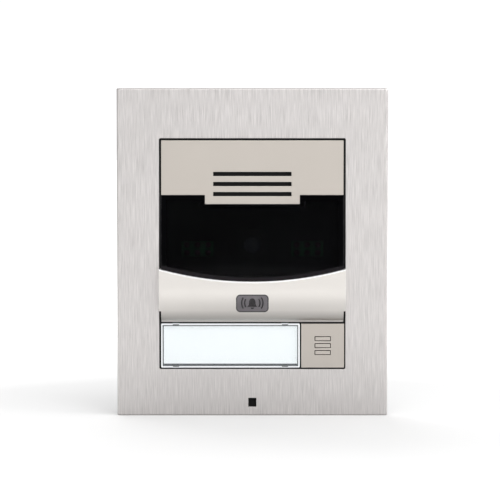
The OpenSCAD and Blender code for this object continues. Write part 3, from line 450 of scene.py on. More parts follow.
def build_settled_dust(name):
    """Mask of dust: thin everywhere in patches, thicker on what faces up."""
    tree, given, out = new_group(name, {"Patches": 90.0}, ["Mask"])
    normal = add_node(tree, "ShaderNodeNewGeometry").outputs["Normal"]
    up = add_node(tree, "ShaderNodeSeparateXYZ", {0: normal}).outputs["Z"]
    facing = spread(tree, up, 0.25, 1.0, 0.2, 1.0)
    cloud = noise(tree, scaled_place(tree, given["Patches"]), detail=5.0)
    patches = spread(tree, cloud, 0.0, 1.0, 0.42, 0.7)
    set_inputs(tree, out, {"Mask": value_math(tree, "MULTIPLY", patches, facing)})
    return tree


def build_rounded_border(name):
    """Mask of a band that follows a rounded rectangle in X and Z. With q the distance past the corner's
    centre on each axis, the distance inside the border is corner - length(max(q, 0)) - min(max(qx, qz),
    0); the mask rises from 0 to 1 while it goes from Start to End."""
    inputs = {"Centre": (0.0, 0.0, 0.0), "Half Size": (0.01, 0.0, 0.01), "Corner": 0.001}
    tree, given, out = new_group(name, {**inputs, "Start": 0.0, "End": 0.001}, ["Mask"])
    moved = vector_math(tree, "SUBTRACT", own_place(tree), given["Centre"])
    flat = vector_math(tree, "MULTIPLY", moved, (1, 0, 1))
    past_side = vector_math(tree, "SUBTRACT", vector_math(tree, "ABSOLUTE", flat), given["Half Size"])
    corner = add_node(tree, "ShaderNodeCombineXYZ", {"X": given["Corner"], "Z": given["Corner"]})
    past = vector_math(tree, "ADD", past_side, corner.outputs["Vector"])
    outer = vector_math(tree, "LENGTH", vector_math(tree, "MAXIMUM", past), output="Value")
    sides = add_node(tree, "ShaderNodeSeparateXYZ", {0: past}).outputs
    inner = value_math(tree, "MINIMUM", value_math(tree, "MAXIMUM", sides["X"], sides["Z"]), 0.0)
    inside = value_math(tree, "SUBTRACT", value_math(tree, "SUBTRACT", given["Corner"], outer), inner)
    set_inputs(tree, out, {"Mask": spread(tree, inside, 0.0, 1.0, given["Start"], given["End"])})
    return tree


def build_woven_wires(name):
    """Height of a plain woven mesh: two sets of round wires, each a sine of one direction."""
    tree, given, out = new_group(name, {"Pitch": 0.0006}, ["Height"])
    waves = []
    for axis in ("X", "Z"):
        turns = value_math(tree, "DIVIDE", place_along(tree, axis), given["Pitch"])
        waves.append(value_math(tree, "SINE", value_math(tree, "MULTIPLY", turns, 2 * math.pi)))
    highest = value_math(tree, "MAXIMUM", *waves)
    set_inputs(tree, out, {"Height": spread(tree, highest, 0.0, 1.0, -1.0, 1.0)})
    return tree


def build_board_tracks(name):
    """Copper under a board's lacquer: tracks along the borders of square cells, and small round vias."""
    tree, given, out = new_group(name, {"Cells": 260.0}, ["Track", "Via"])
    cells = scaled_place(tree, given["Cells"])
    squares = {"Vector": cells, "Scale": 1.0, "Randomness": 0.75}
    borders = add_node(tree, "ShaderNodeTexVoronoi", squares, feature="F2", distance="CHEBYCHEV")
    dots = add_node(tree, "ShaderNodeTexVoronoi", {"Vector": cells, "Scale": 0.8, "Randomness": 0.9})
    bands = value_math(tree, "SINE", value_math(tree, "MULTIPLY", borders.outputs["Distance"], 22.0))
    track = spread(tree, bands, 0.0, 1.0, 0.1, 0.5)
    via = spread(tree, dots.outputs["Distance"], 1.0, 0.0, 0.08, 0.11)
    set_inputs(tree, out, {"Track": track, "Via": via})
    return tree


def place_group(tree, name, build, values=None):
    """The outputs of a shared effect in a material, with that material's own values. The group is built
    the first time it is asked for."""
    group = bpy.data.node_groups.get(name) or build(name)
    return add_node(tree, "ShaderNodeGroup", values, node_tree=group).outputs


# ---------------------------------------------------------------- finishes


def toned(rgb, factor=1.0):
    """A colour made lighter or darker, with full alpha."""
    return [min(1.0, part * factor) for part in rgb[:3]] + [1.0]


def start_material(name):
    """A material with an empty tree, its shader and its output."""
    made = bpy.data.materials.new(name)
    made.use_nodes = True
    tree = made.node_tree
    tree.nodes.clear()
    shader = tree.nodes.new("ShaderNodeBsdfPrincipled")
    out = tree.nodes.new("ShaderNodeOutputMaterial")
    tree.links.new(shader.outputs[0], out.inputs["Surface"])
    return made, tree, shader


def set_bump(tree, shader, height, distance, strength):
    """Bump from a height of 0 to 1 that stands for the given distance."""
    values = {"Height": height, "Distance": distance, "Strength": strength}
    set_inputs(tree, shader, {"Normal": add_node(tree, "ShaderNodeBump", values).outputs[0]})


def brushed_metal(name, rgb, rough, grain, depth=0.05, contrast=0.07, wear=0.25, last_touch=None):
    """Metal with brush streaks, a cloudy tone and lightened edges, partly polished wear and partly
    painted highlight. last_touch takes the tree and the finished colour and paints shade or highlight on
    it from place to place."""
    made, tree, shader = start_material(name)
    streaks = place_group(tree, "Brushed Grain", build_brushed_grain, {"Grain": grain})
    edge_mask = place_group(tree, "Edge Wear And Highlight", build_edge_wear_and_highlight)["Mask"]
    dust = place_group(tree, "Settled Dust", build_settled_dust)["Mask"]
    streaked = mix_colours(tree, streaks["Streak"], toned(rgb, 1 - contrast), toned(rgb, 1 + contrast))
    clouded = mix_colours(tree, spread(tree, streaks["Tone"], 0.0, 0.12), streaked, toned(rgb, 0.8))
    # Lightened edges: polished wear, and on the satin pieces mostly a painted highlight
    edged = mix_colours(tree, spread(tree, edge_mask, 0.0, wear), clouded, toned(rgb, 1.4))
    metal = mix_colours(tree, spread(tree, dust, 0.0, 0.06), edged, toned((0.62, 0.58, 0.52)))
    if last_touch:
        metal = last_touch(tree, metal)
    gloss = spread(tree, streaks["Streak"], rough - 0.05, rough + 0.07)
    set_inputs(tree, shader, {"Base Color": metal, "Roughness": gloss, "Metallic": 1.0})
    set_bump(tree, shader, streaks["Streak"], depth * MM, 0.35)
    return made


def moulded_plastic(name, rgb, rough, fineness=5500.0, depth=0.03, spec=0.5, wear=0.3):
    """Moulded or painted surface with the mould's fine texture, a change of tone, rubbed edges and
    dust."""
    made, tree, shader = start_material(name)
    skin = place_group(tree, "Moulded Skin", build_moulded_skin, {"Fineness": fineness})
    edge_mask = place_group(tree, "Edge Wear And Highlight", build_edge_wear_and_highlight)["Mask"]
    dust = place_group(tree, "Settled Dust", build_settled_dust)["Mask"]
    clouded = mix_colours(tree, skin["Tone"], toned(rgb, 0.9), toned(rgb, 1.12))
    rubbed = toned([part + 0.02 for part in rgb], 1.7)
    edged = mix_colours(tree, spread(tree, edge_mask, 0.0, wear), clouded, rubbed)
    dusted = mix_colours(tree, spread(tree, dust, 0.0, 0.015), edged, toned((0.36, 0.33, 0.29)))
    gloss = spread(tree, skin["Tone"], rough - 0.06, rough + 0.06)
    set_inputs(tree, shader, {"Base Color": dusted, "Roughness": gloss, "Specular IOR Level": spec})
    set_bump(tree, shader, skin["Height"], depth * MM, 0.4)
    return made


POLISHED_SKIN = {"Fineness": 900.0, "Cloud": 45.0}


def glossy_plastic(name, rgb, rough, spec=0.5):
    """Polished plastic: faint smears in its gloss and hardly any texture."""
    made, tree, shader = start_material(name)
    skin = place_group(tree, "Moulded Skin", build_moulded_skin, POLISHED_SKIN)
    dust = place_group(tree, "Settled Dust", build_settled_dust, {"Patches": 260.0})["Mask"]
    clouded = mix_colours(tree, skin["Tone"], toned(rgb, 0.94), toned(rgb, 1.06))
    dusted = mix_colours(tree, spread(tree, dust, 0.0, 0.008), clouded, toned((0.5, 0.47, 0.42)))
    gloss = spread(tree, skin["Tone"], rough * 0.8, rough * 1.4)
    set_inputs(tree, shader, {"Base Color": dusted, "Roughness": gloss, "Specular IOR Level": spec})
    set_bump(tree, shader, skin["Height"], 0.01 * MM, 0.08)
    return made


def woven_mesh(name, rgb):
    """Dark woven wire cloth behind the sound slots and the microphone port."""
    made, tree, shader = start_material(name)
    height = place_group(tree, "Woven Wires", build_woven_wires)["Height"]
    # Dark in the valleys and light on the wire crowns: painted shade between the wires and painted
    # highlight on their crowns
    woven = mix_colours(tree, height, toned(rgb, 0.2), toned(rgb, 2.5))
    gloss = spread(tree, height, 0.8, 0.45)
    set_inputs(tree, shader, {"Base Color": woven, "Roughness": gloss, "Specular IOR Level": 0.1})
    set_bump(tree, shader, height, 0.1 * MM, 0.8)
    return made


def circuit_lacquer(name, rgb):
    """Circuit board: copper tracks that show lighter through the lacquer, and bright vias."""
    made, tree, shader = start_material(name)
    tracks = place_group(tree, "Board Tracks", build_board_tracks)
    skin = place_group(tree, "Moulded Skin", build_moulded_skin)
    base = mix_colours(tree, skin["Tone"], toned(rgb, 0.85), toned(rgb, 1.1))
    tracked = mix_colours(tree, spread(tree, tracks["Track"], 0.0, 0.55), base, toned(rgb, 2.0))
    values = {
        "Base Color": mix_colours(tree, tracks["Via"], tracked, toned((0.62, 0.6, 0.52))),
        "Roughness": spread(tree, tracks["Track"], 0.32, 0.22),
        "Metallic": spread(tree, tracks["Via"], 0.0, 0.9),
    }
    set_inputs(tree, shader, values)
    set_bump(tree, shader, tracks["Track"], 0.035 * MM, 0.5)
    return made


def lit_card(name, glow):
    """White card with fibres, lit from behind by the light guide."""
    made, tree, shader = start_material(name)
    fibres = place_group(tree, "Brushed Grain", build_brushed_grain, {"Grain": (700.0, 700.0, 2600.0)})
    values = {
        "Base Color": mix_colours(tree, fibres["Streak"], (0.38, 0.4, 0.4, 1), (0.42, 0.44, 0.44, 1)),
        "Roughness": spread(tree, fibres["Tone"], 0.75, 0.9),
        "Emission Color": mix_colours(tree, fibres["Tone"], toned(glow, 0.97), toned(glow)),
        "Emission Strength": 0.53,
    }
    set_inputs(tree, shader, values)
    set_bump(tree, shader, fibres["Streak"], 0.02 * MM, 0.3)
    return made


def reach_from_arc_centre(tree, sizes):
    """Distance, seen from the front, from the centre of the arc between the window and the chin."""
    values = {0: own_place(tree), 1: (1, 0, 1), 2: (0, 0, -arc_low() - sizes.arc_radius)}
    flat = add_node(tree, "ShaderNodeVectorMath", values, operation="MULTIPLY_ADD").outputs["Vector"]
    return vector_math(tree, "LENGTH", flat, output="Value")


SATIN = (5200.0, 5200.0, 5200.0)
# The satin pieces' edges are lightened strongly: a painted highlight along them, besides wear
SATIN_PANEL = {"rough": 0.42, "grain": SATIN, "depth": 0.012, "contrast": 0.025, "wear": 0.9}
SATIN_NICKEL = {"rough": 0.33, "grain": SATIN, "depth": 0.012, "contrast": 0.02, "wear": 0.9}


def chin_nickel(name, rgb):
    """Satin nickel with painted shade that darkens it towards the crease at the chin's foot, and a
    painted highlight along its edge at the arc."""
    sizes = bpy.context.scene.intercom_sizes
    foot = corners("chin_cover")[0][2]
    unshaded, dark = foot + 6 * MM, foot + 1.4 * MM
    edge = sizes.arc_radius + 0.55 * MM

    def shaded_foot_and_highlit_edge(tree, metal):
        """The colour with painted shade over the chin's height and a painted highlight along its arc."""
        # Painted shade in the crease at the chin's foot
        foot_shade = spread(tree, place_along(tree, "Z"), 0.0, 1.0, unshaded, dark)
        foot_shaded = mix_colours(tree, foot_shade, metal, toned(rgb, 0.6))
        # Painted highlight, white, along the chin's edge at the arc
        arc_highlight = spread(tree, reach_from_arc_centre(tree, sizes), 1.0, 0.0, edge, edge + 0.25 * MM)
        return mix_colours(tree, arc_highlight, foot_shaded, (1, 1, 1, 1))

    return brushed_metal(name, rgb, **SATIN_NICKEL, last_touch=shaded_foot_and_highlit_edge)


def button_metal(name, rgb):
    """The panel's satin metal with painted shade in the grooves round the dashes."""
    face = corners("button_cap")[0][1] + bpy.context.scene.intercom_sizes.dash_rise

    def shaded_grooves(tree, metal):
        """The colour that turns dark a little behind the button's face: painted shade in the grooves."""
        sunk = spread(tree, place_along(tree, "Y"), 0.0, 1.0, face + 0.06 * MM, face + 0.16 * MM)
        return mix_colours(tree, sunk, metal, toned(rgb, 0.06))

    return brushed_metal(name, rgb, **SATIN_PANEL, last_touch=shaded_grooves)


def border_mask(tree, node, corner, start, end):
    """Mask that rises from 0 to 1 from start to end inside a CAD node's outline, in millimetres."""
    centre, half = middle(node)
    values = {"Centre": (centre[0], 0, centre[2]), "Half Size": (half[0], 0, half[2])}
    values.update({"Corner": corner * MM, "Start": start * MM, "End": end * MM})
    return place_group(tree, "Rounded Border", build_rounded_border, values)["Mask"]


def smoked_window(name, rgb):
    """Black window that shows the lens and the infrared blocks faintly through its middle, with a rougher
    band along the arc whose lighter colour is a painted reflection, and painted highlights along its
    edges."""
    made, tree, shader = start_material(name)
    sizes = bpy.context.scene.intercom_sizes
    start = sizes.arc_radius - sizes.window_band
    band = spread(tree, reach_from_arc_centre(tree, sizes), 0.0, 1.0, start - FIT / 2, start + FIT / 2)
    skin = place_group(tree, "Moulded Skin", build_moulded_skin, POLISHED_SKIN)
    clouded = mix_colours(tree, skin["Tone"], toned(rgb, 0.2), toned(rgb, 0.4))
    # The band along the arc: rougher, and lighter in colour as a painted reflection
    banded = mix_colours(tree, band, clouded, (0.012, 0.0105, 0.012, 1))
    # Painted highlight along the window's edges
    edge = place_group(tree, "Edge Wear And Highlight", build_edge_wear_and_highlight, {"Width": 0.35 * MM})["Mask"]
    clear = value_math(tree, "SUBTRACT", border_mask(tree, "camera_window", 1.0, 2.2, 2.8), band)
    values = {
        "Base Color": mix_colours(tree, spread(tree, edge, 0.0, 0.9), banded, (0.075, 0.07, 0.075, 1)),
        "Roughness": spread(tree, band, 0.05, 0.3),
        "Alpha": spread(tree, clear, 1.0, 0.6),
        "Specular IOR Level": 0.02,
    }
    set_inputs(tree, shader, values)
    set_bump(tree, shader, skin["Height"], 0.01 * MM, 0.08)
    return made


def badge_lacquer(name, rgb):
    """Mottled grey badge with a darker border, which is painted shade round its edge."""
    made, tree, shader = start_material(name)
    past_border = border_mask(tree, "badge", 2.0, 0.45, 0.6)
    skin = place_group(tree, "Moulded Skin", build_moulded_skin, {"Fineness": 1400.0, "Cloud": 160.0})
    clouded = mix_colours(tree, skin["Tone"], toned(rgb, 0.85), toned(rgb, 1.15))
    # Painted shade along the badge's border
    lacquer = mix_colours(tree, past_border, toned(rgb, 0.3), clouded)
    set_inputs(tree, shader, {"Base Color": lacquer, "Roughness": spread(tree, skin["Tone"], 0.35, 0.45)})
    set_bump(tree, shader, skin["Height"], 0.02 * MM, 0.3)
    return made


def clear_cover(name, rgb):
    """Clear acrylic with an edge that carries the light of the guide, a dark line inside it and painted
    shade at the hooks."""
    made, tree, shader = start_material(name)
    sizes = bpy.context.scene.intercom_sizes
    past_edge = border_mask(tree, "name_tag_cover", 0.5, 0.3, 0.36)
    past_rim = border_mask(tree, "name_tag_cover", 0.5, 0.62, 0.72)
    past_line = border_mask(tree, "name_tag_cover", 0.5, 1.1, 1.2)
    skin = place_group(tree, "Moulded Skin", build_moulded_skin, {"Fineness": 900.0, "Cloud": 60.0})
    centre, half = middle("name_tag_cover")
    aside = value_math(tree, "ABSOLUTE", value_math(tree, "SUBTRACT", place_along(tree, "X"), centre[0]))
    past_hook = value_math(tree, "SUBTRACT", aside, half[0] - sizes.hook_inset)
    from_hook = value_math(tree, "ABSOLUTE", past_hook)
    hook_end = sizes.hook_w / 2 + FIT / 2
    # Painted shade where the hooks go back into the housing
    hook_shade = spread(tree, from_hook, 1.0, 0.0, hook_end - 0.15 * MM, hook_end)
    dark = value_math(tree, "MAXIMUM", past_rim, value_math(tree, "MULTIPLY", hook_shade, past_edge))
    edge = mix_colours(tree, skin["Tone"], (0.8, 0.82, 0.84, 1), (0.86, 0.88, 0.9, 1))
    lined = mix_colours(tree, dark, edge, (0.12, 0.125, 0.13, 1))
    values = {
        "Base Color": mix_colours(tree, past_line, lined, toned(rgb)),
        "Roughness": spread(tree, skin["Tone"], 0.05, 0.1),
        "Alpha": spread(tree, past_line, 0.8, 0.07),
        "Emission Color": mix_colours(tree, dark, (0.55, 0.57, 0.58, 1), (0, 0, 0, 1)),
        "Emission Strength": 0.5,
    }
    set_inputs(tree, shader, values)
    return made


def speaker_paper(name, rgb):
    """Felted paper of the loudspeaker's cone."""
    return moulded_plastic(name, rgb, rough=0.85, fineness=2200.0, depth=0.12, spec=0.2, wear=0.0)


def closed_cell_foam(name, rgb):
    """Soft black foam with small open pores."""
    return moulded_plastic(name, rgb, rough=0.9, fineness=1800.0, depth=0.15, spec=0.2, wear=0.0)


# How each slot's finish is made; a slot's colour comes from the record unless the user's colours hold it
FINISHES = {
    "brushed_frame": (brushed_metal, {"rough": 0.36, "grain": (2600.0, 2600.0, 85.0), "contrast": 0.17}),
    "satin_panel": (brushed_metal, SATIN_PANEL),
    "nickel_chin": (chin_nickel, {}),
    "dark_badge": (badge_lacquer, {}),
    "window_black": (smoked_window, {}),
    "housing_black": (moulded_plastic, {"rough": 0.55, "spec": 0.3}),
    "zinc_steel": (brushed_metal, {"rough": 0.34, "grain": (900.0, 900.0, 900.0), "contrast": 0.12}),
    "spring_steel": (brushed_metal, {"rough": 0.24, "grain": (1500.0, 6000.0, 1500.0)}),
    "screw_steel": (brushed_metal, {"rough": 0.26, "grain": (2500.0, 2500.0, 2500.0), "wear": 0.5}),
    "foam_seal": (closed_cell_foam, {}),
    "seal_rubber": (moulded_plastic, {"rough": 0.7, "fineness": 3000.0, "spec": 0.35}),
    "mesh_black": (woven_mesh, {}),
    "cone_paper": (speaker_paper, {}),
    "magnet_iron": (brushed_metal, {"rough": 0.5, "grain": (1200.0, 1200.0, 1200.0), "contrast": 0.15}),
    "circuit_board": (circuit_lacquer, {}),
    "lens_black": (moulded_plastic, {"rough": 0.45}),
    "lens_glass": (glossy_plastic, {"rough": 0.03, "spec": 1.0}),
    "ir_led_plastic": (glossy_plastic, {"rough": 0.08}),
    "ribbon_film": (glossy_plastic, {"rough": 0.25}),
    "tag_clear": (clear_cover, {}),
    "tag_paper": (lit_card, {}),
    "opal_acrylic": (glossy_plastic, {"rough": 0.3}),
    "white_board": (moulded_plastic, {"rough": 0.4}),
    "led_white": (glossy_plastic, {"rough": 0.35}),
    "part_black": (moulded_plastic, {"rough": 0.5}),
    "shield_tin": (brushed_metal, {"rough": 0.3, "grain": (700.0, 700.0, 3500.0), "contrast": 0.06}),
    "contact_gold": (brushed_metal, {"rough": 0.2, "grain": (3000.0, 3000.0, 3000.0)}),
    "relay_blue": (glossy_plastic, {"rough": 0.2}),
    "terminal_green": (moulded_plastic, {"rough": 0.42, "fineness": 4000.0}),
    "capacitor_sleeve": (glossy_plastic, {"rough": 0.22}),
    "lead_black": (moulded_plastic, {"rough": 0.5, "fineness": 3500.0}),
    "connector_ivory": (moulded_plastic, {"rough": 0.45}),
    "stem_red": (moulded_plastic, {"rough": 0.4}),
    "plunger_white": (moulded_plastic, {"rough": 0.35}),
}
USER_COLOURS = {
    "brushed_frame": "frame_metal",
    "satin_panel": "panel_metal",
    "nickel_chin": "chin_metal",
    "window_black": "window_tint",
    "dark_badge": "badge_grey",
    "tag_paper": "tag_glow",
}


def finish(slot):
    """The finish of a material slot, made the first time it is asked for."""
    name = "finish_" + slot
    if name in bpy.data.materials:
        return bpy.data.materials[name]
    make, settings = FINISHES[slot]
    colours = bpy.context.scene.intercom_colours
    rgb = list(getattr(colours, USER_COLOURS[slot])) if slot in USER_COLOURS else COLOUR_OF[slot]
    return make(name, rgb, **settings)


# ---------------------------------------------------------------- the pieces' own shapes


def chin_depth(z, inset, sizes):
    """Depth of the chin's face: upright above the nose line, and a quarter ellipse down to its foot."""
    low = corners("chin_cover")[0]
    nose = arc_low() - sizes.nose_drop
    share = np.clip((nose - z) / (nose - low[2]), 0, 0.999)
    return -sizes.chin_foot - (-low[1] - sizes.chin_foot - inset) * np.sqrt(1 - share**2)


def arc_low():
    """Height of the lowest point of the arc between the window and the chin."""
    return corners("camera_window")[0][2] - FIT / 2


def arc_height(x, gap, sizes):
    """Height of the arc at x; gap is how far the edge stays above the arc's own line."""
    radius = sizes.arc_radius - gap
    return arc_low() + sizes.arc_radius - np.sqrt(radius**2 - x**2)


def frame_body(sizes):
    """The cover frame: one profile, from the opening over the face, the chamfer and the rim and back
    inside, carried round the rounded rectangle; one cell is left out for the microphone port."""
    low, high = corners("cover_frame")
    front, back, wall_face = low[1], low[1] + sizes.frame_face, 0.0
    panel_high = corners("speaker_panel")[1]
    open_top = panel_high[2] + sizes.reveal
    open_bottom = corners("name_tag_cover")[0][2] - sizes.foot_gap
    open_h, open_z = (open_top - open_bottom) / 2, (open_top + open_bottom) / 2
    opening = np.array([panel_high[0] + sizes.reveal, open_h, sizes.frame_corner, open_z, 0])

    def inset(distance, corner):
        """Outline that stays a distance inside the frame's own."""
        return np.array([high[0] - distance, high[2] - distance, corner, 0, 0])

    def at(outline, depth):
        """The outline at a depth."""
        row = outline.copy()
        row[4] = depth
        return row

    def between(outer, z, depth):
        """Outline between the opening and outer whose lower side is at z."""
        share = (open_bottom - z) / (open_bottom + outer[1])
        return at(opening + share * (outer - opening), depth)

    face_edge = inset(sizes.frame_chamfer, sizes.frame_corner)
    outside = inset(0, sizes.frame_corner)
    inner_corner = 0.2 * MM
    inside = inset(sizes.frame_rim, inner_corner)
    port_z = middle("microphone_mesh")[0][2]
    port_top, port_bottom = port_z + sizes.port_h / 2, port_z - sizes.port_h / 2
    rings = [
        at(opening, front),
        between(face_edge, port_top, front),
        between(face_edge, port_bottom, front),
        at(face_edge, front),
        at(outside, front + sizes.frame_chamfer),
        at(outside, wall_face),
        at(inside, wall_face),
        at(inside, back),
        between(inside, port_bottom, back),
        between(inside, port_top, back),
        at(opening, back),
    ]
    x, y, z = ring_points(rings, marks=(-sizes.port_w / 2, sizes.port_w / 2))
    rows, columns = x.shape
    quads = ring_faces(rows, columns, closed=True)
    # The port is the cell between the marks, the last two columns, of rings 1 to 2 and 8 to 9
    left_mark = columns - 2
    keep = np.ones(quads.shape[:2], bool)
    keep[[1, 8], left_mark] = False
    front_top, front_low, back_low, back_top = (row * columns + left_mark for row in (1, 2, 8, 9))
    port = [
        [front_top, back_top, back_top + 1, front_top + 1],
        [front_low, front_low + 1, back_low + 1, back_low],
        [front_top, front_low, back_low, back_top],
        [front_top + 1, back_top + 1, back_low + 1, front_low + 1],
    ]
    shell = np.stack([x, y, z], -1).reshape(-1, 3), face_lists(quads[keep], port)
    return joined(shell, *frame_posts(back, high[1]))


def frame_posts(start, end):
    """The four flat posts behind the face that the spring clips grip, one inside each clip."""
    clip_low, clip_high = corners("frame_clips")
    overlap, clip_inset = 0.4 * MM, 2.3 * MM
    half = np.array([0.5 * MM, 0, 4.0 * MM])
    root = start - overlap
    centre_x = clip_high[0] - clip_inset
    rows = (clip_low[2] + half[2], clip_high[2] - half[2])
    places = [(side * centre_x, z) for side in (-1, 1) for z in rows]
    return [block((x, root, z) - half, (x, end, z) + half) for x, z in places]


def speaker_panel_body(sizes):
    """The speaker panel: a lattice of blocks with a tab, sound slots and a folded edge, and four pegs."""
    low, high = corners("speaker_panel")
    mesh_low, mesh_high = corners("speaker_mesh")
    mesh_border = 1 * MM
    slot_x = mesh_high[0] - mesh_border
    slots = (mesh_low[2] + mesh_high[2]) / 2 + np.array([-1, 0, 1]) * sizes.slot_pitch
    bottom = corners("camera_window")[1][2] + FIT
    tab_x = sizes.tab_w / 2
    sheet_back = low[1] + sizes.sheet
    lip = sizes.lip
    tab_inner_top = bottom + 2 * lip + 0.5 * MM
    xs = np.array([tab_x, tab_x - lip, high[0], high[0] - lip, slot_x])
    xs = np.unique(np.concatenate([-xs, xs]))
    zs = [low[2], low[2] + lip, bottom, bottom + lip, tab_inner_top, high[2] - lip, high[2]]
    zs = np.unique(np.concatenate([zs, slots - sizes.slot_h / 2, slots + sizes.slot_h / 2]))
    ys = np.array([low[1], sheet_back, corners("front_housing")[0][1]])
    x, z = np.meshgrid((xs[1:] + xs[:-1]) / 2, (zs[1:] + zs[:-1]) / 2, indexing="ij")

    def outline(inset, tab_top):
        """True inside the panel and its tab, both drawn in by inset."""
        in_panel = (abs(x) < high[0] - inset) & (z > bottom + inset) & (z < high[2] - inset)
        in_tab = (abs(x) < tab_x - inset) & (z > low[2] + inset) & (z < tab_top)
        return in_panel | in_tab

    in_slot = (abs(x) < slot_x) & (abs(z[..., None] - slots) < sizes.slot_h / 2).any(-1)
    whole = outline(0, bottom + lip)
    filled = np.stack([whole & ~in_slot, whole & ~outline(lip, tab_inner_top)], 1)
    peg_r, peg_root, peg_end = 1 * MM, sheet_back - 0.4 * MM, -0.2 * MM
    places = ((30 * MM, high[2] - 4.8 * MM), (high[0] - 5 * MM, high[2] - 21.8 * MM))
    pegs = [peg(side * px, pz, peg_r, peg_root, peg_end) for side in (-1, 1) for px, pz in places]
    return joined(blocks([xs, ys, zs], filled), *pegs)


def camera_window_body(sizes):
    """The camera window: over each x the rows go from the arc up to the speaker panel, and the depth
    follows a hollow arc in the side view, level with the panel above and standing proud below."""
    low, high = corners("camera_window")
    panel_low = corners("speaker_panel")[0]
    notch_x = sizes.tab_w / 2 + FIT
    notch_z = panel_low[2] - FIT
    face = panel_low[1]
    flare = face - low[1]
    span = high[2] - arc_low()
    radius = (span**2 + flare**2) / (2 * flare)
    side = np.linspace(notch_x, high[0], 8)
    xs = np.concatenate([-side[::-1], np.linspace(-notch_x, notch_x, 17)[1:-1], side])
    share = np.linspace(0, 1, 30)[:, None]
    foot = arc_height(xs, FIT / 2, sizes)[None]
    z = np.concatenate([foot + share * (notch_z - foot), np.full((1, len(xs)), high[2])])
    x = np.broadcast_to(xs, z.shape)
    y = face - radius + np.sqrt(radius**2 - (high[2] - z) ** 2)
    filled = np.ones((len(z) - 1, len(xs) - 1), bool)
    filled[-1] = (np.abs(xs[1:] + xs[:-1]) / 2) > notch_x
    return skirted(x, y, z, filled, high[1])


def chin_body(sizes):
    """The chin: over each x the rows climb the ellipse from the foot to the nose line and then rise
    upright to the arc; the cheeks are the outer columns and stop short of the foot."""
    low, high = corners("chin_cover")
    root = low[2] + sizes.chin_lip
    nose = arc_low() - sizes.nose_drop
    cheek_bottom = low[2] + sizes.cheek_rise
    inner_x = high[0] - sizes.cheek
    xs = np.concatenate([[low[0]], np.linspace(-inner_x, inner_x, 41), [high[0]]])
    foot_rows = 8
    foot = np.linspace(root, cheek_bottom, foot_rows, endpoint=False)
    curve = np.concatenate([foot, np.linspace(cheek_bottom, nose, 18)])
    rise = np.linspace(0, 1, 5)[1:, None]
    top = arc_height(xs, -FIT / 2, sizes)[None]
    z = np.concatenate([curve[:, None] + 0 * top, nose + rise * (top - nose)])
    x = np.broadcast_to(xs, z.shape)
    y = chin_depth(z, 0, sizes)
    filled = np.ones((len(z) - 1, len(xs) - 1), bool)
    filled[:foot_rows, [0, -1]] = False
    return skirted(x, y, z, filled, high[1])


def chin_lip_body(sizes):
    """The flat lip at the chin's foot, which tucks behind the name tag's upper edge."""
    low, high = corners("chin_cover")
    inner_x = high[0] - sizes.cheek
    depth = corners("cover_frame")[0][1] + 0.6 * MM
    overlap = 0.3 * MM
    return block((-inner_x, depth, low[2]), (inner_x, high[1], low[2] + sizes.chin_lip + overlap))


def badge_body(sizes):
    """The badge: rounded rectangles of growing size laid on the chin's curve, a little proud of it, and
    the same again a little below it for its back."""
    centre, half = middle("badge")
    shares = np.array([0.12, 0.35, 0.55, 0.72, 0.86, 0.95, 1.0])
    rings = [(half[0] * s, half[2] * s, sizes.badge_corner * s, centre[2], 0) for s in shares]
    x, _, z = ring_points(rings)
    x, z = np.concatenate([x, x[::-1]]), np.concatenate([z, z[::-1]])
    raised, sunk = -0.15 * MM, 0.5 * MM
    inset = np.where(np.arange(len(x)) < len(shares), raised, sunk)[:, None]
    return ring_body(x, chin_depth(z, inset, sizes), z)


def bell_body(sizes):
    """A plain ringing bell on the badge. The bell's half width narrows from the rim to a domed top, a
    half round clapper hangs under it, and two arcs a side, bands between two radii, are its sound."""
    centre_z = middle("badge")[0][2]
    raised, sunk = -0.24 * MM, 0.1 * MM

    def laid_on_badge(x, z):
        """The cap over a grid of points in x and z, in millimetres from the badge's centre."""
        z = centre_z + z * MM
        filled = np.ones((x.shape[0] - 1, x.shape[1] - 1), bool)
        return skirted(x * MM, chin_depth(z, raised, sizes), z, filled, chin_depth(z, sunk, sizes))

    bell_foot, bell_h, waist, rim_flare = -1.6, 4.1, 1.55, 0.8
    across = np.linspace(-1, 1, 13)[None]
    up = np.linspace(0, 0.985, 22)[:, None]
    dome = np.sqrt(1 - np.clip((up - 0.5) / 0.5, 0, 1) ** 2)
    half_w = waist + rim_flare * np.clip(1 - up / 0.4, 0, 1) ** 2
    bell = laid_on_badge(across * half_w * dome, bell_foot + bell_h * up + 0 * across)
    clapper_r, clapper_z = 0.8, -1.95
    down = np.linspace(-0.97, 0, 8)[:, None]
    half_w = clapper_r * np.sqrt(1 - down**2)
    clapper = laid_on_badge(across * half_w, clapper_z + down * clapper_r + 0 * across)
    turn = np.radians(np.linspace(-32, 32, 13))[:, None]
    arc_z, half_band = 0.2, 0.3
    arcs = []
    for radius in (3.6, 5.0):
        right = radius + np.linspace(-half_band, half_band, 4)[None]
        left = right[:, ::-1]
        arcs.append(laid_on_badge(right * np.cos(turn), right * np.sin(turn) + arc_z))
        arcs.append(laid_on_badge(-left * np.cos(turn), left * np.sin(turn) + arc_z))
    return joined(bell, clapper, *arcs)


